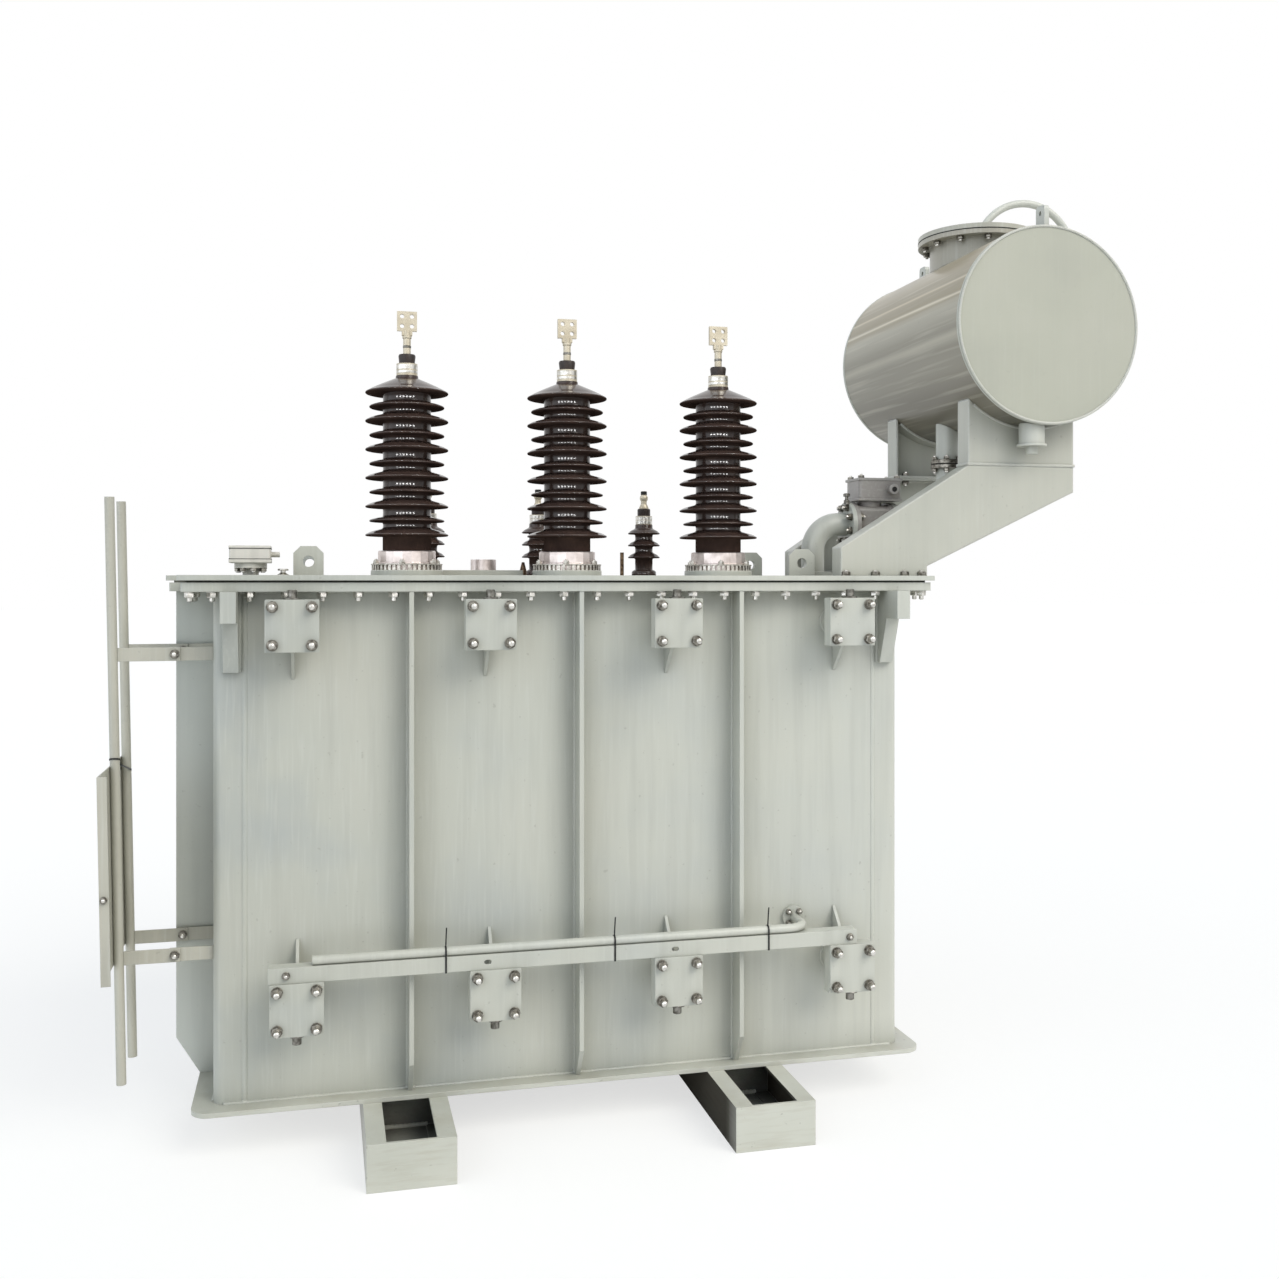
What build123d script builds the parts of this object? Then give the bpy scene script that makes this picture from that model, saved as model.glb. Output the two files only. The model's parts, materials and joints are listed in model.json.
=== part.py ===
from build123d import *
import os
from math import asin, cos, degrees, radians, sin

# Power transformer, oil filled, with its radiators taken off and their openings blanked.
# Millimetres. X runs along the tank, Y from the high-voltage side to the low-voltage side, Z up.
# Every place is measured from the middle of the tank, at ground level. The finished pieces are
# moved along X at the end, so that the origin is under the middle of the whole object.

# Skids
skid_gauge = 1070
skid_width = 250
skid_height = 134
skid_overhang = 353
channel_flange = 55
channel_web = 7
channel_lip = 9
skid_end_plate = 10
skid_diaphragm = 8
skid_floor = 6
diaphragm_inset = 60

# Tank
tank_length = 2182
tank_width = 920
tank_height = 1512
wall = 8
bend_radius = 30
seam_offset = 90
base_thickness = 14
base_overhang = 60
base_corner = 55

# Rim, gasket and cover
rim_thickness = 27
rim_overhang = 82
gasket_thickness = 6
gasket_inset = 14
gasket_corner = 4
cover_thickness = 16
cover_overhang = 92
cover_corner = 6

# Pocket on the left end
pocket_projection = 130
pocket_inset = 280
pocket_sheet = 8
pocket_foot = 59
pocket_slope_height = 116
pocket_rim_overhang = 12
pocket_rim_margin = 85

# Core and windings sealed in the tank
winding_clearance = 54
yoke_height = 250
yoke_width = 260
core_foot_height = 90
core_headroom = 62

# Stiffening ribs
rib_spacing_share = 0.2374
rib_thickness = 14
rib_depth = 80
rib_toe = 22
rib_slope_height = 95

# Lifting hooks under the rim
hook_end_inset = 53
hook_thickness = 44
hook_projection = 160
hook_nose_height = 90
hook_height = 238
hook_throat = 78
hook_toe = 24

# Radiator connections
stub_inner_offset = 289
stub_end_inset = 229
stub_top_gap = 98
stub_centres = 1103
lower_left_shift = 13
stub_diameter = 89
flange_size = 152
flange_thickness = 14
valve_thickness = 24
blank_thickness = 12
stub_reach = 160
flange_corner = 3
lower_chamfer = 18
gusset_thickness = 10
gusset_leg = 120
spindle_diameter = 26
spindle_height = 28

# Rail over the lower connections, and the pipe stowed on it
rail_left_overhang = 67
rail_right_overhang = 18
rail_leg = 46
rail_thickness = 6
rail_setback = 8
rail_slot_length = 22
rail_slot_height = 13
rail_slot_offset = 10
pipe_diameter = 27
stowed_pipe_left_inset = 123
stowed_pipe_right_inset = 162
pipe_bend = 62
pipe_flange_diameter = 74
pipe_flange_thickness = 12

# High-voltage bushings
hv_spacing_share = 0.2365
hv_inset = 168
hv_flange_diameter = 226
hv_flange_height = 36
hv_collar_diameter = 182
hv_base_height = 78
hv_lug_count = 8
hv_lug_width = 34
hv_core_diameter = 152
hv_shoulder_diameter = 124
hv_neck_diameter = 84
hv_large_shed = 260
hv_small_shed = 235
hv_shed_pairs = 5
hv_shed_spacing = 90
hv_first_shed_height = 50
hv_shed_rise = 25
hv_shed_drop = 4
hv_shed_edge = 6
hv_top_collar = 54
hv_cap_diameter = 66
hv_cap_height = 38
hv_nut_diameter = 48
hv_nut_height = 29
hv_stud_diameter = 24
hv_stud_height = 76
palm_size = 62
palm_thickness = 14
palm_hole = 14
palm_hole_spacing = 31

# Low-voltage bushings
lv_spacing_share = 0.185
lv_inset = 750
lv_flange_diameter = 92
lv_flange_height = 22
lv_body_diameter = 66
lv_shed_diameter = 120
lv_sheds = 3
lv_first_shed_height = 72
lv_shed_spacing = 45
lv_shed_rise = 18
lv_body_height = 196
lv_cap_diameter = 62
lv_cap_height = 31
lv_nut_diameter = 46
lv_nut_height = 28
lv_stud_diameter = 22
lv_stud_height = 66

# Lugs and fittings on the cover
lug_end_inset = 272
lug_inset = 187
lug_width = 92
lug_height = 92
lug_thickness = 20
lug_hole = 34
lug_hole_height = 44
lug_chamfer = 22
relief_end_inset = 100
relief_inset = 150
relief_neck_diameter = 48
relief_neck_height = 22
relief_flange_diameter = 97
relief_flange_height = 16
relief_box_length = 121
relief_box_width = 110
relief_box_height = 52
gland_diameter = 17
gland_length = 26
vent_end_inset = 196
vent_stem_diameter = 15
vent_stem_height = 15
vent_cap_diameter = 32
vent_cap_height = 5
tap_offset = -254
tap_inset = 330
tap_plate_left = 151
tap_plate_right = 118
tap_plate_width = 220
tap_plate_height = 18
tap_plate_corner = 4
tap_cap_diameter = 84
tap_cap_height = 36
bleed_offset = -120
bleed_base_diameter = 24
bleed_tip_diameter = 9
bleed_height = 46
probe_offset = 298
probe_inset = 660
probe_diameter = 14
probe_height = 88

# Conservator on its two arms
conservator_end_distance = 460
conservator_rise = 828
conservator_diameter = 656
conservator_length = 956
conservator_front = 176
conservator_wall = 6
conservator_end = 10
arm_front = 57
arm_spacing = 636
arm_depth = 75
arm_plate = 8
arm_end_inset = 226
far_arm_end_inset = 186
arm_foot_overhang = 79
arm_foot_thickness = 12
arm_left_height = 93
arm_right_height = 32
arm_top_distance = 230
arm_nose_distance = 622
arm_top_height = 371
arm_nose_height = 86
saddle_clearance = 0.3
sump_offset = -30
sump_setback = 60
sump_diameter = 84
sump_height = 62
sump_flange_diameter = 98
sump_flange_thickness = 7
sump_plug_diameter = 38
sump_plug_height = 25
manhole_offset = 18
manhole_diameter = 330
manhole_height = 50
manhole_flange_diameter = 414
manhole_plate = 18
ear_setback = 43
ear_width = 52
ear_thickness = 18
ear_height = 74
ear_hole = 16

# Breather pipe over the conservator
breather_offset = 206
breather_rise = 138
breather_rise_radius = 206
breather_fall_radius = 190
breather_drop = 560
breather_flange_diameter = 62

# Gas relay between tank and conservator
relay_clearance = 7.5
relay_pipe_diameter = 80
relay_riser_inset = 191
relay_axis_height = 183
relay_bend = 92
relay_flange_inset = 69
relay_flange_diameter = 157
relay_flange_thickness = 15
relay_body_length = 118
relay_body_width = 112
relay_body_height = 128
relay_head_length = 160
relay_head_offset = 20
relay_head_gap = 3
relay_head_width = 116
relay_head_height = 80
relay_knob_diameter = 34
relay_knob_length = 26
relay_outlet_distance = 326

# Side frame with its board
frame_standoff = 281
frame_lean = 1.1
post_diameter = 28
post_near_inset = 36
post_far_inset = 268
post_bottom = 220
post_height = 1717
arm_bar_height = 40
arm_bar_thickness = 6
post_bar_standoff = 94
wall_bar_length = 124
frame_arm_top_gap = 184
frame_arm_base_gap = 440
board_near_overhang = 215
board_far_overhang = 32
board_height = 580
board_bottom = 570
board_sheet = 3
board_lip = 23

# Places that follow from the sizes
half_length = tank_length / 2
half_width = tank_width / 2
front = -half_width
rib_spacing = tank_length * rib_spacing_share
hv_spacing = tank_length * hv_spacing_share
lv_spacing = tank_length * lv_spacing_share
winding_diameter = hv_spacing - winding_clearance
winding_height = tank_height - core_foot_height - 2 * yoke_height - core_headroom
base_top = skid_height + base_thickness
rim_bottom = base_top + tank_height
rim_top = rim_bottom + rim_thickness
cover_bottom = rim_top + gasket_thickness
cover_top = cover_bottom + cover_thickness
conservator_x = half_length + conservator_end_distance
conservator_axis = cover_top + conservator_rise
conservator_radius = conservator_diameter / 2
conservator_near = front - conservator_front
conservator_far = conservator_near + conservator_length
conservator_top = conservator_axis + conservator_radius
breather_middle = conservator_x + breather_offset
breather_x = breather_middle + breather_fall_radius
frame_x = -half_length - frame_standoff
frame_low = base_top + frame_arm_base_gap
frame_high = rim_bottom - frame_arm_top_gap
post_top_rise = post_bottom + post_height - frame_high
lean = radians(frame_lean)
object_left = frame_x - post_diameter / 2 * cos(lean) - post_top_rise * sin(lean)
object_right = breather_x + breather_flange_diameter / 2
object_middle = (object_left + object_right) / 2


def block(x0, x1, y0, y1, z0, z1):
    centre = ((x0 + x1) / 2, (y0 + y1) / 2, (z0 + z1) / 2)
    return Pos(*centre) * Box(x1 - x0, y1 - y0, z1 - z0)


def post(diameter, x, y, z0, z1):
    return Pos(x, y, (z0 + z1) / 2) * Cylinder(diameter / 2, z1 - z0)


def rod_x(diameter, x0, x1, y, z):
    return Pos((x0 + x1) / 2, y, z) * Rot(0, 90, 0) * Cylinder(diameter / 2, x1 - x0)


def rod_y(diameter, x, y0, y1, z):
    return Pos(x, (y0 + y1) / 2, z) * Rot(90, 0, 0) * Cylinder(diameter / 2, y1 - y0)


def prism_y(points, y0, y1):
    outline = Polyline(*[(x, y0, z) for x, z in points], close=True)
    return extrude(make_face(outline), amount=y1 - y0, dir=(0, 1, 0))


def prism_x(points, x0, x1):
    outline = Polyline(*[(x0, y, z) for y, z in points], close=True)
    return extrude(make_face(outline), amount=x1 - x0, dir=(1, 0, 0))


def plate(length, width, corner, z0, z1):
    return Pos(0, 0, z0) * extrude(RectangleRounded(length, width, corner), amount=z1 - z0)


def turned(points, x, y, z):
    outline = Polyline(*[(r, 0, h) for r, h in points], close=True)
    return Pos(x, y, z) * revolve(make_face(outline), axis=Axis.Z)


def bent_pipe(diameter, points, bend):
    path = FilletPolyline(*points, radius=bend)
    start = Plane(origin=points[0], z_dir=Vector(*points[1]) - Vector(*points[0]))
    return sweep(start * Circle(diameter / 2), path=path)


def save(name, *solids):
    placed = [Pos(-object_middle, 0, 0) * solid for solid in solids]
    shape = placed[0] if len(placed) == 1 else Compound(children=placed)
    export_step(shape, f"parts/{name}.step")


def mirrored(solid):
    return mirror(solid, about=Plane.XZ)


# A skid is two channels with their flanges inwards, closed by a plate at each end and floored
# as far as the first diaphragm
def skid(x):
    half = skid_width / 2
    reach = half_width + skid_overhang
    inner = half - channel_flange
    face = half - channel_web
    section = [
        (half, 0), (half, skid_height), (inner, skid_height), (inner, skid_height - channel_lip),
        (face, skid_height - channel_lip), (face, channel_lip), (inner, channel_lip), (inner, 0),
    ]
    body = prism_y([(x + u, z) for u, z in section], -reach, reach)
    body += prism_y([(x - u, z) for u, z in section], -reach, reach)
    for side in (-1, 1):
        y0, y1 = sorted((side * reach, side * (reach - skid_end_plate)))
        body += block(x - half, x + half, y0, y1, 0, skid_height)
        middle = side * (half_width - diaphragm_inset)
        body += block(x - face, x + face, middle - skid_diaphragm / 2, middle + skid_diaphragm / 2,
                      channel_lip, skid_height - channel_lip)
        y0, y1 = sorted((side * reach, middle))
        body += block(x - inner, x + inner, y0, y1, 0, skid_floor)
    return body


# The tank wall is one closed belt, cut at the seams into two flat sides and two bent ends
def tank_walls():
    outer = plate(tank_length, tank_width, bend_radius, base_top, rim_bottom)
    inner = plate(tank_length - 2 * wall, tank_width - 2 * wall, bend_radius - wall, base_top, rim_bottom)
    belt = outer - inner
    seam = half_length - seam_offset
    sides = block(-seam, seam, -half_width, half_width, base_top, rim_bottom)
    right = block(seam, half_length, -half_width, half_width, base_top, rim_bottom)
    left = block(-half_length, -seam, -half_width, half_width, base_top, rim_bottom)
    low, high = (belt & sides).solids().sort_by(Axis.Y)
    return low, high, belt & left, belt & right


# The pocket is a sheet box on the left end whose floor slopes back onto the base plate
def end_pocket():
    out = -half_length - pocket_projection
    foot = -half_length - pocket_foot
    slope_top = base_top + pocket_slope_height
    reach = half_width - pocket_inset
    outline = [
        (-half_length, base_top), (foot, base_top), (out, slope_top), (out, rim_bottom),
        (-half_length, rim_bottom),
    ]
    body = prism_y(outline, -reach, reach)
    hollow = [
        (-half_length, base_top + pocket_sheet), (foot + pocket_sheet / 2, base_top + pocket_sheet),
        (out + pocket_sheet, slope_top + pocket_sheet / 2), (out + pocket_sheet, rim_bottom - pocket_sheet),
        (-half_length, rim_bottom - pocket_sheet),
    ]
    return body - prism_y(hollow, -reach + pocket_sheet, reach - pocket_sheet)


# Outline shared by the rim, the gasket and the cover: a rectangle that steps out round the pocket
def top_outline(overhang, pocket_overhang, corner, z0, z1):
    body = plate(tank_length + 2 * overhang, tank_width + 2 * overhang, corner, z0, z1)
    out = -half_length - pocket_projection - pocket_overhang
    reach = half_width - pocket_inset + pocket_rim_margin
    step = block(out, -half_length, -reach, reach, z0, z1)
    step = fillet(step.edges().filter_by(Axis.Z).group_by(Axis.X)[0], corner)
    return body + step


def rim_bars():
    ring = top_outline(rim_overhang, pocket_rim_overhang, cover_corner, rim_bottom, rim_top)
    inner_x = half_length - wall
    inner_y = half_width - wall
    ring -= block(-inner_x, inner_x, -inner_y, inner_y, rim_bottom, rim_top)
    far = tank_length
    bars = {}
    bars["front"] = ring & block(-far, far, -far, -inner_y, rim_bottom, rim_top)
    bars["back"] = ring & block(-far, far, inner_y, far, rim_bottom, rim_top)
    bars["left"] = ring & block(-far, -inner_x, -inner_y, inner_y, rim_bottom, rim_top)
    bars["right"] = ring & block(inner_x, far, -inner_y, inner_y, rim_bottom, rim_top)
    return bars


def gasket():
    ring = top_outline(rim_overhang - gasket_inset, pocket_rim_overhang - gasket_inset, gasket_corner,
                       rim_top, cover_bottom)
    inner_x = half_length - wall
    inner_y = half_width - wall
    return ring - block(-inner_x, inner_x, -inner_y, inner_y, rim_top, cover_bottom)


# Three wound limbs between two yokes, standing on feet on the tank floor
def core_and_windings():
    half_yoke = hv_spacing + winding_diameter / 2
    low = base_top + core_foot_height
    body = block(-half_yoke, half_yoke, -yoke_width / 2, yoke_width / 2, low, low + yoke_height)
    high = low + yoke_height + winding_height
    body += block(-half_yoke, half_yoke, -yoke_width / 2, yoke_width / 2, high, high + yoke_height)
    for limb in (-1, 0, 1):
        body += post(winding_diameter, limb * hv_spacing, 0, low + yoke_height, high)
    for side in (-1, 1):
        x = side * hv_spacing
        body += block(x - yoke_width / 2, x + yoke_width / 2, -yoke_width / 2, yoke_width / 2, base_top, low)
    return body


def rib(x):
    tip = front - rib_depth
    outline = [
        (front, base_top), (front - rib_toe, base_top), (tip, base_top + rib_slope_height),
        (tip, rim_bottom), (front, rim_bottom),
    ]
    return prism_x(outline, x - rib_thickness / 2, x + rib_thickness / 2)


def lifting_hook(x):
    tip = front - hook_projection
    low = rim_bottom - hook_nose_height
    outline = [
        (front, rim_bottom), (tip, rim_bottom), (tip, low), (front - hook_throat, low),
        (front - hook_toe, rim_bottom - hook_height), (front, rim_bottom - hook_height),
    ]
    return prism_x(outline, x - hook_thickness / 2, x + hook_thickness / 2)


# A radiator connection, seen from the wall outwards: neck with gusset and flange, valve, blank plate
upper_stub_z = rim_bottom - stub_top_gap
lower_stub_z = upper_stub_z - stub_centres
blank_face = front - stub_reach
valve_face = blank_face + blank_thickness
flange_face = valve_face + valve_thickness
neck_end = flange_face + flange_thickness
stub_outer_offset = half_length - stub_end_inset
stub_places = [-stub_outer_offset, -stub_inner_offset, stub_inner_offset, stub_outer_offset]


def square_plate(x, z, y0, y1, chamfer_low):
    half = flange_size / 2
    body = block(x - half, x + half, y0, y1, z - half, z + half)
    corners = body.edges().filter_by(Axis.Y).group_by(Axis.Z)
    if chamfer_low:
        body = chamfer(corners[0], lower_chamfer)
        corners = body.edges().filter_by(Axis.Y).group_by(Axis.Z)
    return fillet(corners[-1], flange_corner)


def stub(x, z, side):
    body = rod_y(stub_diameter, x, neck_end, front, z)
    body += square_plate(x, z, flange_face, neck_end, False)
    root = z + side * (stub_diameter / 2 + gusset_leg)
    outline = [(front, z), (front, root), (neck_end, z + side * stub_diameter / 2), (neck_end, z)]
    return body + prism_x(outline, x - gusset_thickness / 2, x + gusset_thickness / 2)


def valve(x, z, side):
    body = square_plate(x, z, valve_face, flange_face, False)
    edge = z - side * flange_size / 2
    z0, z1 = sorted((edge, edge - side * spindle_height))
    return body + post(spindle_diameter, x, (valve_face + flange_face) / 2, z0, z1)


def radiator_set(make):
    solids = [make(x, upper_stub_z, -1) for x in stub_places]
    solids += [make(x + lower_left_shift if x < 0 else x, lower_stub_z, 1) for x in stub_places]
    return solids + [mirrored(solid) for solid in solids]


def blank(x, z, side):
    return square_plate(x, z, blank_face, valve_face, side > 0)


# The rail is an angle bar standing on the lower valves, with the pipe lying on its top leg
rail_left = -stub_outer_offset - rail_left_overhang
rail_right = stub_outer_offset + rail_right_overhang
stowed_pipe_left = rail_left + stowed_pipe_left_inset
stowed_pipe_right = rail_right - stowed_pipe_right_inset
rail_low = lower_stub_z + flange_size / 2
rail_top = rail_low + rail_leg
rail_face = blank_face + rail_setback


def pipe_rail():
    back = rail_face + rail_leg
    inside = rail_face + rail_thickness
    outline = [
        (rail_face, rail_low), (rail_face, rail_top), (back, rail_top), (back, rail_top - rail_thickness),
        (inside, rail_top - rail_thickness), (inside, rail_low),
    ]
    body = prism_x(outline, rail_left, rail_right)
    z = (rail_low + rail_top) / 2
    for x in (-stub_inner_offset - rail_slot_offset, stub_inner_offset - rail_slot_offset):
        slot = Pos(x, inside, z) * Rot(90, 0, 0) * SlotOverall(rail_slot_length, rail_slot_height)
        body -= extrude(slot, amount=rail_thickness, both=True)
    return body


def stowed_pipe():
    y = rail_face + pipe_diameter / 2
    z = rail_top + pipe_diameter / 2
    wall_side = front - pipe_flange_thickness
    body = bent_pipe(pipe_diameter, [(stowed_pipe_left, y, z), (stowed_pipe_right, y, z),
                                     (stowed_pipe_right, wall_side, z)], pipe_bend)
    return body + rod_y(pipe_flange_diameter, stowed_pipe_right, wall_side, front, z)


# High-voltage bushing: clamped base, porcelain with large and small sheds in turn, terminal palm
hv_y = front + hv_inset
porcelain_height = hv_first_shed_height + hv_shed_pairs * hv_shed_spacing + hv_top_collar


def hv_base(x):
    flange = hv_flange_diameter / 2
    collar = hv_collar_diameter / 2
    lug_top = hv_base_height - hv_flange_height / 2
    body = turned([(0, 0), (flange, 0), (flange, hv_flange_height), (collar, hv_flange_height),
                   (collar, hv_base_height), (0, hv_base_height)], x, hv_y, cover_top)
    for index in range(hv_lug_count):
        turn = Pos(x, hv_y, cover_top) * Rot(0, 0, 360 / hv_lug_count * index)
        body += turn * block(0, flange, -hv_lug_width / 2, hv_lug_width / 2, 0, lug_top)
    return body


def shed(tip, height, core):
    return [
        (core, height - hv_shed_drop), (tip, height - hv_shed_edge / 2), (tip, height + hv_shed_edge / 2),
        (core, height + hv_shed_rise),
    ]


def hv_porcelain(x):
    core = hv_core_diameter / 2
    points = [(0, 0), (core, 0)]
    for index in range(2 * hv_shed_pairs + 1):
        tip = (hv_small_shed if index % 2 else hv_large_shed) / 2
        points += shed(tip, hv_first_shed_height + index * hv_shed_spacing / 2, core)
    shoulder_height = points.pop()[1]
    points.append((hv_shoulder_diameter / 2, shoulder_height))
    points += [(hv_neck_diameter / 2, porcelain_height), (0, porcelain_height)]
    return turned(points, x, hv_y, cover_top + hv_base_height)


def hv_terminal(x):
    z = cover_top + hv_base_height + porcelain_height
    cap_top = z + hv_cap_height
    nut_top = cap_top + hv_nut_height
    stud_top = nut_top + hv_stud_height
    body = post(hv_cap_diameter, x, hv_y, z, cap_top)
    body += Pos(x, hv_y, cap_top) * extrude(RegularPolygon(hv_nut_diameter / 2, 6), amount=hv_nut_height)
    body += post(hv_stud_diameter, x, hv_y, nut_top, stud_top)
    half = palm_size / 2
    leaf = palm_thickness / 2
    palm = block(x - half, x + half, hv_y - leaf, hv_y + leaf, stud_top, stud_top + palm_size)
    for dx in (-1, 1):
        for dz in (-1, 1):
            hole_x = x + dx * palm_hole_spacing / 2
            hole_z = stud_top + half + dz * palm_hole_spacing / 2
            palm -= rod_y(palm_hole, hole_x, hv_y - palm_thickness, hv_y + palm_thickness, hole_z)
    return body + palm


lv_y = front + lv_inset


def lv_porcelain(x):
    body = lv_body_diameter / 2
    tip = lv_shed_diameter / 2
    flange = lv_flange_diameter / 2
    points = [(0, 0), (flange, 0), (flange, lv_flange_height), (body, lv_flange_height)]
    for index in range(lv_sheds):
        points += shed(tip, lv_first_shed_height + index * lv_shed_spacing, body)[:3]
        points.append((body, lv_first_shed_height + index * lv_shed_spacing + lv_shed_rise))
    points += [(body, lv_body_height), (0, lv_body_height)]
    return turned(points, x, lv_y, cover_top)


def lv_terminal(x):
    z = cover_top + lv_body_height
    cap_top = z + lv_cap_height
    nut_top = cap_top + lv_nut_height
    body = post(lv_cap_diameter, x, lv_y, z, cap_top)
    body += Pos(x, lv_y, cap_top) * extrude(RegularPolygon(lv_nut_diameter / 2, 6), amount=lv_nut_height)
    return body + post(lv_stud_diameter, x, lv_y, nut_top, nut_top + lv_stud_height)


def cover_lug(x):
    y = front + lug_inset
    half = lug_width / 2
    leaf = lug_thickness / 2
    body = block(x - half, x + half, y - leaf, y + leaf, cover_top, cover_top + lug_height)
    body = chamfer(body.edges().filter_by(Axis.Y).group_by(Axis.Z)[-1], lug_chamfer)
    return body - rod_y(lug_hole, x, y - lug_thickness, y + lug_thickness, cover_top + lug_hole_height)


relief_x = -half_length + relief_end_inset
vent_x = -half_length + vent_end_inset


def relief_valve():
    y = front + relief_inset
    flange_low = cover_top + relief_neck_height
    box_low = flange_low + relief_flange_height
    half = relief_box_length / 2
    body = post(relief_neck_diameter, relief_x, y, cover_top, flange_low)
    body += post(relief_flange_diameter, relief_x, y, flange_low, box_low)
    box = block(relief_x - half, relief_x + half, y - relief_box_width / 2, y + relief_box_width / 2,
                box_low, box_low + relief_box_height)
    body += fillet(box.edges().filter_by(Axis.Z), relief_box_height / 8)
    return body + rod_x(gland_diameter, relief_x + half, relief_x + half + gland_length, y,
                        box_low + relief_box_height / 2)


def vent_plug():
    stem = vent_stem_diameter / 2
    cap = vent_cap_diameter / 2
    top = vent_stem_height + vent_cap_height
    outline = [
        (0, 0), (stem, 0), (stem, vent_stem_height), (cap, vent_stem_height),
        (cap, top - vent_cap_height / 3), (stem, top), (0, top),
    ]
    return turned(outline, vent_x, front + relief_inset, cover_top)


tap_y = front + tap_inset
tap_plate_top = cover_top + tap_plate_height


def tap_plate():
    body = block(tap_offset - tap_plate_left, tap_offset + tap_plate_right, tap_y - tap_plate_width / 2,
                 tap_y + tap_plate_width / 2, cover_top, tap_plate_top)
    return fillet(body.edges().filter_by(Axis.Z), tap_plate_corner)


def tap_cap():
    return post(tap_cap_diameter, tap_offset, tap_y, tap_plate_top, tap_plate_top + tap_cap_height)


def bleed_valve():
    base = bleed_base_diameter / 2
    outline = [
        (0, 0), (base, 0), (base, bleed_height / 3), (bleed_tip_diameter / 2, bleed_height),
        (0, bleed_height),
    ]
    return turned(outline, bleed_offset, tap_y, cover_top)


def probe():
    y = front + probe_inset
    return post(probe_diameter, probe_offset, y, cover_top, cover_top + probe_height)


# Arms and saddles are folded plates, open towards each other
arm_near_left = half_length - arm_end_inset
arm_far_left = half_length - far_arm_end_inset
arm_foot_right = half_length + arm_foot_overhang
arm_top_left = half_length + arm_top_distance
arm_right = half_length + arm_nose_distance
arm_near_face = front - arm_front
arm_places = {
    "near": (arm_near_face, 1, arm_near_left),
    "far": (arm_near_face + arm_spacing, -1, arm_far_left),
}


def folded(face_points, y, inwards):
    y0, y1 = sorted((y, y + inwards * arm_depth))
    body = prism_y(face_points, y0, y1)
    outline = make_face(Polyline(*[(x, 0, z) for x, z in face_points], close=True))
    hollow = offset(outline, amount=-arm_plate, kind=Kind.INTERSECTION)
    start = y + inwards * arm_plate
    hollow = Pos(0, start, 0) * hollow
    return body - extrude(hollow, amount=arm_depth, dir=(0, inwards, 0))


def arm(y, inwards, arm_left):
    foot_top = cover_top + arm_foot_thickness
    outline = [
        (arm_left, foot_top), (arm_left, cover_top + arm_left_height),
        (arm_top_left, cover_top + arm_top_height), (arm_right, cover_top + arm_top_height),
        (arm_right, cover_top + arm_top_height - arm_nose_height),
        (arm_foot_right, cover_top + arm_right_height), (arm_foot_right, foot_top),
    ]
    y0, y1 = sorted((y, y + inwards * arm_depth))
    return folded(outline, y, inwards) + block(arm_left, arm_foot_right, y0, y1, cover_top, foot_top)


def saddle(y, inwards):
    low = cover_top + arm_top_height
    outline = [
        (arm_top_left, low), (arm_top_left, conservator_axis),
        (arm_right, conservator_axis), (arm_right, low),
    ]
    return folded(outline, y, inwards) - shell_solid(saddle_clearance)


def conservator_shell():
    y0 = conservator_near + conservator_end
    y1 = conservator_far - conservator_end
    bore = conservator_diameter - 2 * conservator_wall
    body = rod_y(conservator_diameter, conservator_x, y0, y1, conservator_axis)
    return body - rod_y(bore, conservator_x, y0, y1, conservator_axis)


def conservator_end_plate(y):
    return rod_y(conservator_diameter, conservator_x, y, y + conservator_end, conservator_axis)


def shell_solid(clearance):
    diameter = conservator_diameter + 2 * clearance
    return rod_y(diameter, conservator_x, conservator_near, conservator_far, conservator_axis)


def sump():
    x = conservator_x + sump_offset
    y = conservator_near + sump_setback
    low = conservator_axis - conservator_radius - sump_height
    body = post(sump_diameter, x, y, low, conservator_axis) - shell_solid(saddle_clearance)
    body += post(sump_flange_diameter, x, y, low - sump_flange_thickness, low)
    plug_top = low - sump_flange_thickness
    return body + post(sump_plug_diameter, x, y, plug_top - sump_plug_height, plug_top)


manhole_y = conservator_near + conservator_length / 2 + manhole_offset
manhole_flange_low = conservator_top + manhole_height
manhole_lid_low = manhole_flange_low + manhole_plate
manhole_lid_top = manhole_lid_low + manhole_plate


def manhole_neck():
    body = post(manhole_diameter, conservator_x, manhole_y, conservator_axis, manhole_lid_low)
    body += post(manhole_flange_diameter, conservator_x, manhole_y, manhole_flange_low, manhole_lid_low)
    bore = manhole_diameter - 2 * conservator_wall
    body -= post(bore, conservator_x, manhole_y, conservator_axis, manhole_lid_low)
    return body - shell_solid(saddle_clearance)


def ear(y):
    half = ear_width / 2
    body = block(conservator_x - ear_thickness / 2, conservator_x + ear_thickness / 2, y - half, y + half,
                 conservator_axis, conservator_top + ear_height)
    body = fillet(body.edges().filter_by(Axis.X).group_by(Axis.Z)[-1], half / 2)
    hole_z = conservator_top + ear_height - half
    body -= rod_x(ear_hole, conservator_x - ear_thickness, conservator_x + ear_thickness, y, hole_z)
    return body - shell_solid(saddle_clearance)


# The breather rises from the manhole lid on one arc, passes its crest, and drops from a second arc
def breather_arc(radius, crest, turn_from, turn_to):
    points = []
    for share in (0, 0.5, 1):
        turn = radians(turn_from + share * (turn_to - turn_from))
        points.append((breather_middle + radius * cos(turn), manhole_y, crest - radius + radius * sin(turn)))
    return points


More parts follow.
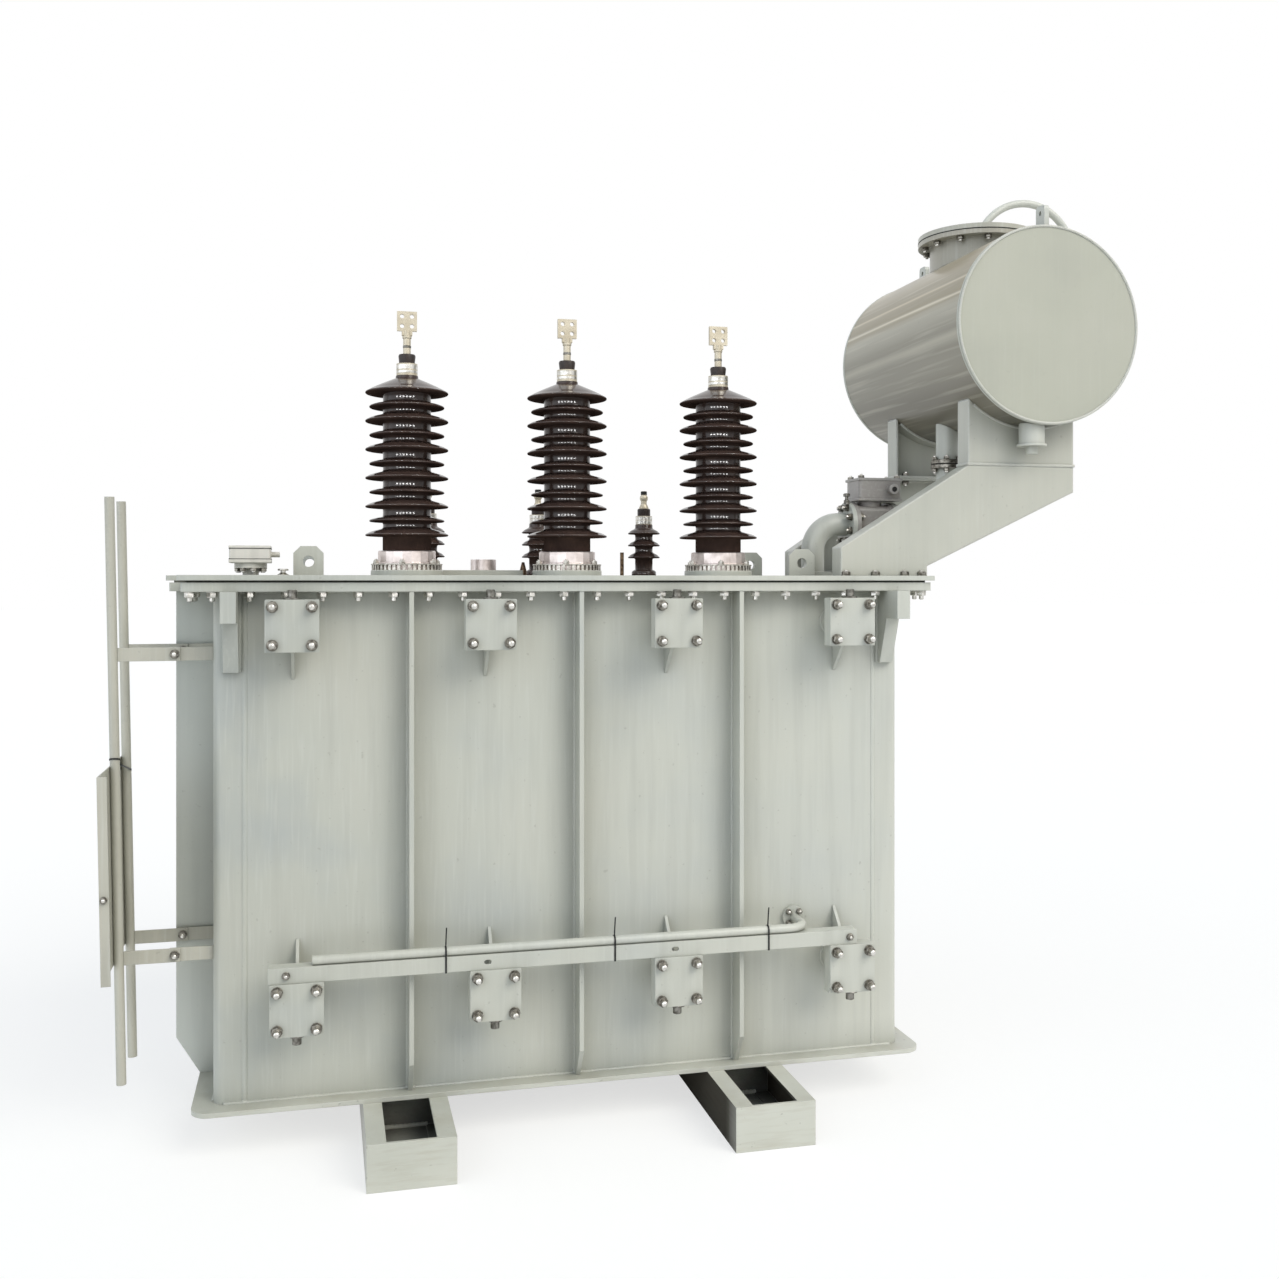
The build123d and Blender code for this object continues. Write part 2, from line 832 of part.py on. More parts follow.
def breather_pipe():
    crest = manhole_lid_top + breather_rise
    low = crest - breather_drop
    foot = degrees(asin((manhole_lid_low - crest + breather_rise_radius) / breather_rise_radius))
    rise = breather_arc(breather_rise_radius, crest, 180 - foot, 90)
    fall = breather_arc(breather_fall_radius, crest, 90, 0)
    path = ThreePointArc(*rise) + ThreePointArc(*fall) + Line(fall[-1], (breather_x, manhole_y, low))
    section = Plane(origin=rise[0], z_dir=path % 0) * Circle(pipe_diameter / 2)
    half = manhole_flange_diameter / 2
    body = sweep(section, path=path)
    body -= block(conservator_x - half, conservator_x + half, manhole_y - half, manhole_y + half,
                  manhole_flange_low, manhole_lid_top)
    return body + post(breather_flange_diameter, breather_x, manhole_y, low - pipe_flange_thickness, low)


relay_riser_x = half_length - relay_riser_inset
relay_flange_x = half_length - relay_flange_inset
relay_outlet_x = half_length + relay_outlet_distance
relay_y = front + lug_inset + lug_thickness / 2 + relay_clearance + relay_flange_diameter / 2
relay_z = cover_top + relay_axis_height
relay_body_x = relay_flange_x + relay_flange_thickness
relay_end_x = relay_body_x + relay_body_length + 2 * relay_flange_thickness


def relay_flange(x):
    return rod_x(relay_flange_diameter, x, x + relay_flange_thickness, relay_y, relay_z)


def relay_riser():
    foot_top = cover_top + relay_flange_thickness
    path = [
        (relay_riser_x, relay_y, foot_top), (relay_riser_x, relay_y, relay_z),
        (relay_flange_x, relay_y, relay_z),
    ]
    body = bent_pipe(relay_pipe_diameter, path, relay_bend)
    body += post(relay_flange_diameter, relay_riser_x, relay_y, cover_top, foot_top)
    return body + relay_flange(relay_flange_x)


def gas_relay():
    x0 = relay_body_x + relay_flange_thickness
    x1 = x0 + relay_body_length
    middle = (x0 + x1) / 2
    half = relay_body_height / 2
    side = relay_body_width / 2
    body = block(x0, x1, relay_y - side, relay_y + side, relay_z - half, relay_z + half)
    body = fillet(body.edges().filter_by(Axis.X), relay_body_width / 6)
    body += relay_flange(relay_body_x) + relay_flange(x1)
    head_low = relay_z + relay_flange_diameter / 2 + relay_head_gap
    body += post(relay_body_width * 0.8, middle, relay_y, relay_z, head_low)
    middle += relay_head_offset
    half = relay_head_length / 2
    side = relay_head_width / 2
    head_top = head_low + relay_head_height
    head = block(middle - half, middle + half, relay_y - side, relay_y + side, head_low, head_top)
    body += fillet(head.edges().filter_by(Axis.Z), relay_head_width / 10)
    knob_x = middle + relay_head_length / 4
    near_face = relay_y - side
    return body + rod_y(relay_knob_diameter, knob_x, near_face - relay_knob_length, near_face,
                        head_low + relay_head_height / 2)


def relay_pipe():
    body = bent_pipe(relay_pipe_diameter, [(relay_end_x + relay_flange_thickness, relay_y, relay_z),
                                           (relay_outlet_x, relay_y, relay_z),
                                           (relay_outlet_x, relay_y, conservator_axis)], relay_bend)
    return body + relay_flange(relay_end_x) - shell_solid(saddle_clearance)


# Side frame: two posts held off the left end by bolted bars, with a lipped board on their outer side.
# Posts and board lean out a little at the top, about the upper bars.
post_places = [front + post_near_inset, front + post_far_inset]


def leaned(solid):
    return Pos(frame_x, 0, frame_high) * Rot(0, -frame_lean, 0) * Pos(-frame_x, 0, -frame_high) * solid


def frame_post(y, clearance=0):
    return leaned(post(post_diameter + 2 * clearance, frame_x, y, post_bottom, post_bottom + post_height))


def post_bar(y, z):
    half = arm_bar_height / 2
    leaf = arm_bar_thickness / 2
    bar = block(frame_x, -half_length - post_bar_standoff, y - leaf, y + leaf, z - half, z + half)
    bar -= frame_post(y, saddle_clearance)
    return bar.solids().sort_by(Axis.X)[-1]


def wall_bar(y, z):
    half = arm_bar_height / 2
    start = y + arm_bar_thickness / 2
    end = start + arm_bar_thickness
    return block(-half_length - wall_bar_length, -half_length, start, end, z - half, z + half)


def frame_board():
    x1 = frame_x - post_diameter / 2
    y0 = post_places[0] - board_near_overhang
    y1 = post_places[1] + board_far_overhang
    top = board_bottom + board_height
    body = block(x1 - board_sheet, x1, y0, y1, board_bottom, top)
    body += block(x1, x1 + board_lip, y0, y0 + board_sheet, board_bottom, top)
    return leaned(body + block(x1, x1 + board_lip, y1 - board_sheet, y1, board_bottom, top))


os.makedirs("parts", exist_ok=True)

save("skid_left", skid(-skid_gauge / 2))
save("skid_right", skid(skid_gauge / 2))
base_length = tank_length + 2 * base_overhang
base_width = tank_width + 2 * base_overhang
save("base_plate", plate(base_length, base_width, base_corner, skid_height, base_top))
for name, solid in zip(("front_wall", "back_wall", "left_end_wall", "right_end_wall"), tank_walls()):
    save(name, solid)
save("end_pocket", end_pocket())
for name, bar in rim_bars().items():
    save(f"rim_{name}", bar)
save("cover_gasket", gasket())
save("cover", top_outline(cover_overhang, cover_overhang - rim_overhang + pocket_rim_overhang, cover_corner,
                          cover_bottom, cover_top))
save("core_and_windings", core_and_windings())

ribs = [rib(index * rib_spacing) for index in (-1, 0, 1)]
save("front_ribs", *ribs)
save("back_ribs", *[mirrored(solid) for solid in ribs])
hooks = [lifting_hook(side * (half_length - hook_end_inset)) for side in (-1, 1)]
save("lifting_hooks", *hooks, *[mirrored(solid) for solid in hooks])
save("radiator_stubs", *radiator_set(stub))
save("radiator_valves", *radiator_set(valve))
save("blank_plates", *radiator_set(blank))
save("pipe_rail", pipe_rail())
save("stowed_pipe", stowed_pipe())

for index in (-1, 0, 1):
    phase = index + 2
    save(f"hv_base_{phase}", hv_base(index * hv_spacing))
    save(f"hv_porcelain_{phase}", hv_porcelain(index * hv_spacing))
    save(f"hv_terminal_{phase}", hv_terminal(index * hv_spacing))
save("lv_porcelains", *[lv_porcelain(index * lv_spacing) for index in (-1, 0, 1)])
save("lv_terminals", *[lv_terminal(index * lv_spacing) for index in (-1, 0, 1)])
lugs = [cover_lug(side * (half_length - lug_end_inset)) for side in (-1, 1)]
save("cover_lugs", *lugs, *[mirrored(solid) for solid in lugs])
save("relief_valve", relief_valve())
save("tap_plate", tap_plate())
save("tap_cap", tap_cap())
save("cover_plugs", vent_plug(), bleed_valve(), probe())

for name, (y, inwards, left) in arm_places.items():
    save(f"arm_{name}", arm(y, inwards, left))
    save(f"saddle_{name}", saddle(y, inwards))
save("conservator_shell", conservator_shell())
save("conservator_near_end", conservator_end_plate(conservator_near))
save("conservator_far_end", conservator_end_plate(conservator_far - conservator_end))
save("conservator_sump", sump())
save("manhole_neck", manhole_neck())
save("manhole_lid", post(manhole_flange_diameter, conservator_x, manhole_y, manhole_lid_low, manhole_lid_top))
save("conservator_ears", ear(conservator_near + ear_setback), ear(conservator_far - ear_setback))
save("breather_pipe", breather_pipe())
save("relay_riser", relay_riser())
save("gas_relay", gas_relay())
save("relay_pipe", relay_pipe())

save("frame_posts", *[frame_post(y) for y in post_places])
levels = (frame_low, frame_high)
save("frame_arms", *[post_bar(y, z) for y in post_places for z in levels])
save("frame_wall_bars", *[wall_bar(y, z) for y in post_places for z in levels])
save("frame_board", frame_board())
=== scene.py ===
import json
import math

import bpy
import numpy as np
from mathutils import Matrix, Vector

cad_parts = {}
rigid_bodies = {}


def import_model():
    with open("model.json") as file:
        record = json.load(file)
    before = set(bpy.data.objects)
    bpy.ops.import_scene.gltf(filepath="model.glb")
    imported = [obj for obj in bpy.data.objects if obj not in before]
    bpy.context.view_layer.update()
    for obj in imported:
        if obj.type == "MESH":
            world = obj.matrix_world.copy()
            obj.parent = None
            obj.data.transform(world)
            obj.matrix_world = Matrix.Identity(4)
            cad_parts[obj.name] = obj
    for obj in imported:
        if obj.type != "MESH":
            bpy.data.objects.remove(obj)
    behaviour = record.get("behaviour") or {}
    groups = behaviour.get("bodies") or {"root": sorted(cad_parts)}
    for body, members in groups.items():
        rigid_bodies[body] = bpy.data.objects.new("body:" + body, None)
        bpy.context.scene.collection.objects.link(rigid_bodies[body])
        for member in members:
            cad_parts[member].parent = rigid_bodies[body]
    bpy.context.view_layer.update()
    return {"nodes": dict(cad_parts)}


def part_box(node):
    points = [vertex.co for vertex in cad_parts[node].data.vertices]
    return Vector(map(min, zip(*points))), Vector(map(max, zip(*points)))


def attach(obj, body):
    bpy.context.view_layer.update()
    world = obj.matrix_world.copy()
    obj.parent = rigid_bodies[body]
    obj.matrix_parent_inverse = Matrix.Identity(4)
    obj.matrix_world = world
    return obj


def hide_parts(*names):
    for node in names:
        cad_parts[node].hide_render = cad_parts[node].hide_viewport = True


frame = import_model()
nodes = frame["nodes"]
mm = 0.001
up, down = (0, 0, 1), (0, 0, -1)
print("frame loaded:", len(nodes), "nodes")


def hexToLinear(code):  # sRGB hex to the linear values that shaders take
    parts = [int(code[i:i + 2], 16) / 255 for i in (1, 3, 5)]
    return [c / 12.92 if c <= 0.04045 else ((c + 0.055) / 1.055) ** 2.4 for c in parts] + [1.0]


def feed(tree, node, links):  # links sources to inputs; a node given as a source means its first output
    for key, source in links.items():
        tree.links.new(source.outputs[0] if isinstance(source, bpy.types.Node) else source, node.inputs[key])


def addNode(tree, kind, settings=None, links=None):  # one shader node, its settings, and what feeds it
    made = tree.nodes.new("ShaderNode" + kind)
    for key, value in (settings or {}).items():
        if key == "stops":  # places and hex colours along a colour ramp
            elements = made.color_ramp.elements
            for place, colour in value[2:]:
                elements.new(place)
            for element, (place, colour) in zip(elements, value):
                element.position = place
                element.color = hexToLinear(colour)
        elif isinstance(key, int) or key in made.inputs:
            made.inputs[key].default_value = value
        else:
            setattr(made, key, value)
    feed(tree, made, links or {})
    return made


def newMaterial(name, settings):
    material = bpy.data.materials.new(name)
    material.use_nodes = True
    tree = material.node_tree
    shader = tree.nodes["Principled BSDF"]
    for key, value in settings.items():
        shader.inputs[key].default_value = value
    coords = addNode(tree, "TexCoord").outputs["Object"]
    return material, tree, shader, coords


# Alkyd enamel sprayed on steel plate: pale grey-green, satin, a little orange peel, cool patches, dusty
# streaks, painted shade in the corners, pale edges partly worn and partly painted highlight, painted light
# paler along X;
# on the rolled shell a painted sheen breaks into brownish bands and the streaks are painted reflections
def makePaint(name, tone):
    material, tree, shader, coords = newMaterial(name, {"Coat Weight": tone["coat"],
                                                        "Coat Roughness": tone["coatRough"]})
    drawn = addNode(tree, "Mapping", {"Scale": tone["streakAlong"]}, {"Vector": coords})
    patterns = {"cloud": (4.0, coords), "streak": (5.0, drawn), "fine": (2.0, drawn), "speck": (2.0, coords),
                "peel": (2.0, coords), "wave": (1.0, coords)}  # detail, and plain or drawn-out coordinates
    noise = {key: addNode(tree, "TexNoise", {"Scale": 1 / (tone[key + "Mm"] * mm), "Detail": detail},
                          {"Vector": vector}) for key, (detail, vector) in patterns.items()}
    # painted shade: ambient occlusion darkens corners, creases and hollows towards the corner shade colour
    hollow = addNode(tree, "AmbientOcclusion", {"samples": 4, "Distance": tone["cornerMm"] * mm,
                                                "only_local": "side" in tone})
    # edge mask: its pale colour on the edges is partly wear and partly painted highlight
    rounded = addNode(tree, "Bevel", {"samples": 4, "Radius": tone["edgeMm"] * mm})
    plain = addNode(tree, "NewGeometry")
    same = addNode(tree, "VectorMath", {"operation": "DOT_PRODUCT"}, {0: rounded, 1: plain.outputs["Normal"]})
    shades = list(zip(tone["shadeStops"], (tone["dark"], tone["colour"], tone["light"])))
    body = addNode(tree, "ValToRGB", {"stops": shades}, {"Fac": noise["cloud"]})
    place = addNode(tree, "SeparateXYZ", links={"Vector": coords})
    if "bands" in tone:  # painted sheen by height on the shell: reflection bands wandering with the streaks
        half = tone["wander"] / 2
        share = addNode(tree, "MapRange", {"From Min": tone["bandLow"], "From Max": tone["bandHigh"],
                                           "To Min": -half, "To Max": 1 - half},
                        {"Value": place.outputs["Z"]})
        moved = addNode(tree, "Math", {"operation": "MULTIPLY_ADD", 1: tone["wander"]},
                        {0: noise["streak"], 2: share})
        banded = addNode(tree, "ValToRGB", {"stops": tone["bands"]}, {"Fac": moved})
        away = addNode(tree, "MapRange", {"From Min": tone["plainFrom"], "From Max": tone["plainTo"]},
                       {"Value": place.outputs["X"]})  # the painted sheen fades into plain paint on the side away from the tank
        body = addNode(tree, "Mix", {"data_type": "RGBA"}, {0: away, 6: banded, 7: body}).outputs[2]
    # each layer: its key in the tones, what drives it, its colour, and whether it fades as the driver grows
    # the X layer is painted light, the corner layer painted shade, the edge layer partly wear and partly
    # painted highlight
    layers = [("bleach", place.outputs["X"], "bleached", False), ("streak", noise["streak"], "dust", False),
              ("fine", noise["fine"], "pale", False), ("speck", noise["speck"], "dirt", False),
              ("corner", hollow.outputs["AO"], "grime", True), ("edge", same.outputs["Value"], "worn", True)]
    if "side" in tone:  # painted shade on the sides under the tank, less on outer sides and at the ends
        facing = addNode(tree, "SeparateXYZ", links={"Vector": plain.outputs["Normal"]})
        turn = addNode(tree, "MapRange", {"From Min": tone["middle"] - tone["turnMm"] * mm,
                                          "From Max": tone["middle"] + tone["turnMm"] * mm,
                                          "To Min": 1.0, "To Max": -1.0}, {"Value": place.outputs["X"]})
        inner = addNode(tree, "Math", {"operation": "MULTIPLY"}, {0: facing.outputs["X"], 1: turn})
        outer = addNode(tree, "Math", {"operation": "MULTIPLY", 1: -tone["outerSide"]}, {0: inner})
        aside = addNode(tree, "Math", {"operation": "MAXIMUM"}, {0: inner, 1: outer})
        reach = addNode(tree, "Math", {"operation": "ABSOLUTE"}, {0: place.outputs["Y"]})
        depth = addNode(tree, "MapRange", {"From Min": tone["endAt"], "From Max": tone["deepAt"],
                                           "To Min": tone["endShade"], "To Max": 1.0}, {"Value": reach})
        shade = addNode(tree, "Math", {"operation": "MULTIPLY"}, {0: aside, 1: depth})
        layers.append(("side", shade, "sideDirt", False))
        matt = addNode(tree, "MapRange", {"From Min": tone["sideFrom"], "From Max": tone["mattTo"],
                                          "To Min": tone["specular"], "To Max": 0.0}, {"Value": shade})
        feed(tree, shader, {"Specular IOR Level": matt})
    for key, source, colour, fades in layers:
        low, high = (tone[key], 0.0) if fades else (0.0, tone[key])
        limits = {"From Min": tone[key + "From"], "From Max": tone[key + "To"], "To Min": low, "To Max": high}
        amount = addNode(tree, "MapRange", limits, {"Value": source})
        body = addNode(tree, "Mix", {"data_type": "RGBA", 7: hexToLinear(tone[colour])},
                       {0: amount, 6: body}).outputs[2]
    gloss = addNode(tree, "MapRange", {"To Min": tone["rough"] - tone["smoother"],
                                       "To Max": tone["rough"] + tone["duller"]}, {"Value": noise["streak"]})
    waved = addNode(tree, "Bump", {"Strength": tone["wave"], "Distance": tone["waveDeep"] * mm},
                    {"Height": noise["wave"], "Normal": rounded})
    peeled = addNode(tree, "Bump", {"Strength": tone["peel"], "Distance": tone["peelDeep"] * mm},
                     {"Height": noise["peel"], "Normal": waved})
    feed(tree, shader, {"Base Color": body, "Roughness": gloss, "Normal": peeled})
    return material


# the enamel grows paler along X as painted light; its corner colour is painted shade
paintTone = {"colour": "#bebfb4", "dark": "#b0b4b0", "light": "#c4c3b7", "bleached": "#dadacf", "bleach": 0.6,
             "bleachFrom": -1.3, "bleachTo": 0.8, "dust": "#aaaaa0", "pale": "#d2d3cb", "dirt": "#8f8c80",
             "grime": "#7f8177", "worn": "#dcddd3", "cloudMm": 520, "streakMm": 42,
             "streakAlong": (1, 1, 0.05), "streakFrom": 0.48, "streakTo": 0.78, "streak": 0.34,
             "fineMm": 9, "fineFrom": 0.52, "fineTo": 0.75, "fine": 0.3, "speckMm": 16, "speckFrom": 0.71,
             "speckTo": 0.76, "speck": 0.3, "cornerMm": 100, "cornerFrom": 0.35, "cornerTo": 0.95,
             "corner": 0.5, "edgeMm": 3, "edgeFrom": 0.86, "edgeTo": 0.995, "edge": 0.5, "rough": 0.34,
             "smoother": 0.06, "duller": 0.08, "coat": 0.12, "coatRough": 0.2, "waveMm": 260, "wave": 0.10,
             "waveDeep": 20, "shadeStops": (0.32, 0.5, 0.72), "peelMm": 7, "peel": 0.10,
             "peelDeep": 1}  # orange peel drawn at twice its real size


def tintedPaint(name, colour, dark, light, **changes):  # the same enamel in another tint, some values changed
    return makePaint(name, {**paintTone, "colour": colour, "dark": dark, "light": light, **changes})


paint = makePaint("sprayedAlkydEnamel", paintTone)
# on the folded plates the broad pale edges are mostly painted highlight along the folds
foldedPaint = tintedPaint("enamelOnFoldedPlate", "#c5c4b7", "#bcbcb0", "#cac8bb", bleach=0.0, edgeMm=11,
                          edge=0.9, worn="#eeede4", fine=0.15, streak=0.2)
postPaint = tintedPaint("enamelOnTube", "#bdbaac", "#b0ada0", "#c5c2b4", bleach=0.0)
# darker and warmer than the plain enamel
manholePaint = tintedPaint("brownedEnamel", "#b1ab9c", "#a49e90", "#bab4a6", bleach=0.0)
castPaint = tintedPaint("enamelOnCasting", "#aba59f", "#978f89", "#b6b0aa", bleach=0.0, peelMm=4, peel=0.35,
                        streakAlong=(1, 1, 1), corner=0.7, grime="#5a5049")
dusty = {"colour": "#c8c8bc", "dark": "#b9baae", "light": "#d0cfc4", "dust": "#a8a08c",
         "streakAlong": (0.3, 0.3, 3.0), "streak": 0.4, "speck": 0.5}
basePaint = tintedPaint("enamelWithDust", **dusty)
plateLow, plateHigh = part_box("base_plate")
# skids: painted shade, dark on the sides under the tank and near black in the hollows of the open ends
skidPaint = tintedPaint("enamelOnRolledSteel", **dusty, middle=(plateLow[0] + plateHigh[0]) / 2, side=0.95,
                        sideFrom=0.2, sideTo=0.95, mattTo=0.9, specular=0.5, turnMm=10, outerSide=0.5,
                        endAt=0.815, deepAt=0.68, endShade=0.78, sideDirt="#3b362f", coat=0.0, cornerMm=150,
                         cornerTo=0.8, corner=0.97, grime="#1c1813")
# a paler, cooler copy of the enamel, painted light for the recessed pocket in shade
pocketPaint = tintedPaint("coolEnamelOnPocket", "#d1d4cc", "#c5c9c2", "#d7d8d0", dust="#babdb6", bleach=0.0)
discPaint = tintedPaint("enamelOnFlatEnd", "#b8b8a8", "#b3b3a4", "#bcbbac", bleach=0.0, streak=0.1, fine=0.06,
                        cloudMm=300, speck=0.1)
reliefPaint = tintedPaint("paleEnamelOnSheet", "#e0dbd1", "#d8d4cb", "#e4e0d6")
shellLow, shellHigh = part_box("conservator_shell")
# painted sheen on the shell: reflection bands, with a painted highlight line and glint
sheen = {"belly": "#55534a", "low": "#827c6e", "mid": "#989283", "pale": "#b9b3a1", "tan": "#a2967c",
         "line": "#e4d9c1", "glint": "#d2c4a8", "warm": "#b2a58b", "crown": "#bfbdb0"}  # from belly to crown
sheenPlaces = [(0.02, "belly"), (0.08, "low"), (0.2, "low"), (0.29, "mid"), (0.4, "mid"), (0.44, "pale"),
               (0.48, "mid"), (0.6, "pale"), (0.635, "tan"), (0.65, "line"), (0.665, "tan"), (0.72, "tan"),
               (0.735, "glint"), (0.75, "tan"), (0.9, "warm"), (0.97, "crown")]  # by share of height
# on the shell the dark and the pale streaks are painted reflections, and the corner colour painted shade
shellTone = {"bandLow": shellLow[2], "bandHigh": shellHigh[2], "wander": 0.07, "streakMm": 60,
             "plainFrom": 0.35 * shellLow[0] + 0.65 * shellHigh[0],
             "plainTo": 0.15 * shellLow[0] + 0.85 * shellHigh[0], "streakAlong": (1, 0.03, 1), "streak": 0.3,
             "dust": "#77715f", "pale": "#cdc6b4", "fine": 0.4, "fineMm": 14, "grime": "#5d5847",
             "rough": 0.3, "coat": 0.0, "wave": 0.05, "bleach": 0.0,
             "bands": [(share, sheen[part]) for share, part in sheenPlaces]}
shellPaint = makePaint("enamelOnRolledShell", {**paintTone, **shellTone})


# Glazed electrical porcelain: almost black brown, wet gloss, painted shade darkening the lips of the sheds
def makeGlaze(tone):
    material, tree, shader, coords = newMaterial("brownGlazedPorcelain", {"Roughness": tone["rough"],
                                                                          "IOR": tone["ior"]})
    pool = addNode(tree, "TexNoise", {"Scale": 1 / (tone["poolMm"] * mm), "Detail": 3.0}, {"Vector": coords})
    body = addNode(tree, "ValToRGB", {"stops": tone["shades"]}, {"Fac": pool})
    rounded = addNode(tree, "Bevel", {"samples": 4, "Radius": tone["lipMm"] * mm})
    plain = addNode(tree, "NewGeometry")
    same = addNode(tree, "VectorMath", {"operation": "DOT_PRODUCT"}, {0: rounded, 1: plain.outputs["Normal"]})
    # painted shade: the lips of the sheds darken
    lip = addNode(tree, "MapRange", {"From Min": tone["lipFrom"], "From Max": tone["lipTo"],
                                     "To Min": tone["lip"], "To Max": 0.0}, {"Value": same.outputs["Value"]})
    mixed = addNode(tree, "Mix", {"data_type": "RGBA", 7: hexToLinear(tone["pooled"])}, {0: lip, 6: body})
    facing = addNode(tree, "SeparateXYZ", links={"Vector": plain.outputs["Normal"]})
    gloss = addNode(tree, "MapRange", {"From Min": tone["dullBelow"], "From Max": 0.0, "To Min": 0.0,
                                       "To Max": tone["specular"]},
                    {"Value": facing.outputs["Z"]})  # dust dulls the undersides
    ripple = addNode(tree, "TexNoise", {"Scale": 1 / (tone["rippleMm"] * mm), "Detail": 1.0},
                     {"Vector": coords})
    bump = addNode(tree, "Bump", {"Strength": tone["ripple"], "Distance": tone["rippleDeep"] * mm},
                   {"Height": ripple})
    feed(tree, shader, {"Base Color": mixed.outputs[2], "Specular IOR Level": gloss, "Normal": bump})
    return material


# the lip colour is painted shade along the lips of the sheds
glazeTone = {"shades": [(0.3, "#3c302c"), (0.6, "#493a34"), (0.8, "#57453c")], "pooled": "#2a1d19",
             "rough": 0.13, "ior": 1.4, "poolMm": 45, "lipMm": 5, "lipFrom": 0.80, "lipTo": 0.99, "lip": 0.7,
             "dullBelow": -0.12, "specular": 0.5, "rippleMm": 12, "ripple": 0.12, "rippleDeep": 1}


# A bare metal: cloudy tarnish in colour and roughness, with fine grit from casting, rolling or plating
def makeMetal(name, colour, tarnish, rough, cloudMm, grit, gritMm=2, metallic=1.0):
    material, tree, shader, coords = newMaterial(name, {"Metallic": metallic})
    cloud = addNode(tree, "TexNoise", {"Scale": 1 / (cloudMm * mm), "Detail": 5.0}, {"Vector": coords})
    body = addNode(tree, "ValToRGB", {"stops": [(0.35, tarnish), (0.6, colour)]}, {"Fac": cloud})
    dull = addNode(tree, "MapRange", {"To Min": rough + 0.14, "To Max": rough - 0.04}, {"Value": cloud})
    grain = addNode(tree, "TexNoise", {"Scale": 1 / (gritMm * mm), "Detail": 2.0}, {"Vector": coords})
    bump = addNode(tree, "Bump", {"Strength": grit, "Distance": 0.0006}, {"Height": grain})
    feed(tree, shader, {"Base Color": body, "Roughness": dull, "Normal": bump})
    return material


# A soft black or brown moulding: rubber, nylon or jointing sheet, matt with a faint grain
def makeMoulding(name, colour, worn, rough, grainMm):
    material, tree, shader, coords = newMaterial(name, {"Specular IOR Level": 0.4})
    grain = addNode(tree, "TexNoise", {"Scale": 1 / (grainMm * mm), "Detail": 4.0}, {"Vector": coords})
    body = addNode(tree, "ValToRGB", {"stops": [(0.4, colour), (0.75, worn)]}, {"Fac": grain})
    dull = addNode(tree, "MapRange", {"To Min": rough - 0.1, "To Max": rough + 0.1}, {"Value": grain})
    bump = addNode(tree, "Bump", {"Strength": 0.2, "Distance": 0.0005}, {"Height": grain})
    feed(tree, shader, {"Base Color": body, "Roughness": dull, "Normal": bump})
    return material


glaze = makeGlaze(glazeTone)
castAluminium = makeMetal("bareCastAluminium", "#e6dcd9", "#c2b7b3", rough=0.36, cloudMm=40, grit=0.5,
                          gritMm=2.5)
clampMetal = makeMetal("weatheredClampMetal", "#d6d3cc", "#a39f97", rough=0.32, cloudMm=9, grit=0.4)
zincPlate = makeMetal("brightZincPlate", "#dcdad5", "#b3b1aa", rough=0.24, cloudMm=14, grit=0.15)
dullZinc = makeMetal("dullZincPlate", "#96938b", "#5c5851", rough=0.3, cloudMm=10, grit=0.2)
tinPlate = makeMetal("tinnedCopper", "#cbc2ae", "#bcb29d", rough=0.4, cloudMm=40, grit=0.2, metallic=0.5)
brass = makeMetal("tarnishedBrass", "#85705a", "#453730", rough=0.4, cloudMm=14, grit=0.2)
bareSteel = makeMetal("bareMachinedSteel", "#8e8c86", "#5d5b55", rough=0.34, cloudMm=12, grit=0.3)
rubber = makeMoulding("corkRubberSheet", "#0f0f0f", "#1f1e1c", rough=0.75, grainMm=6)
coverSheet = makeMoulding("oversprayedCorkSheet", "#474640", "#6a6960", rough=0.8, grainMm=6)
darkNut = makeMoulding("darkOilproofRubber", "#241c1a", "#3a2d28", rough=0.45, grainMm=9)
blackNylon = makeMoulding("blackNylon", "#0c0c0c", "#191919", rough=0.45, grainMm=3)
varnish = makeMoulding("varnishedWindings", "#4a3522", "#6b4d30", rough=0.5, grainMm=20)
print("materials made:", len(bpy.data.materials))

# Finish of each CAD node; the others take the plain paint
finishes = [(coverSheet, "cover_gasket"), (varnish, "core_and_windings"), (reliefPaint, "relief_valve"),
            (castAluminium, "tap_cap hv_base_1 hv_base_2 hv_base_3"), (castPaint, "gas_relay"),
            (brass, "cover_plugs"), (foldedPaint, "arm_near arm_far saddle_near saddle_far"),
            (tinPlate, "lv_terminals hv_terminal_1 hv_terminal_2 hv_terminal_3"),
            (glaze, "lv_porcelains hv_porcelain_1 hv_porcelain_2 hv_porcelain_3"),
            (skidPaint, "skid_left skid_right"), (shellPaint, "conservator_shell"), (basePaint, "base_plate"),
            (postPaint, "frame_posts frame_arms frame_wall_bars frame_board manhole_lid"),
            (pocketPaint, "end_pocket"), (manholePaint, "manhole_neck"),
            (discPaint, "conservator_near_end conservator_far_end")]
finishOf = {name: finish for finish, names in finishes for name in names.split()}
for name, obj in nodes.items():
    obj.data.materials.clear()
    obj.data.materials.append(finishOf.get(name, paint))


def corner(name):  # lowest and highest corners of a node, as arrays in metres
    low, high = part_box(name)
    return np.array(low), np.array(high)


def footOf(name):  # middle of a node's lowest level
    low, high = corner(name)
    return np.array([(low[0] + high[0]) / 2, (low[1] + high[1]) / 2, low[2]])


def heightOf(name):  # in millimetres
    low, high = corner(name)
    return (high[2] - low[2]) / mm


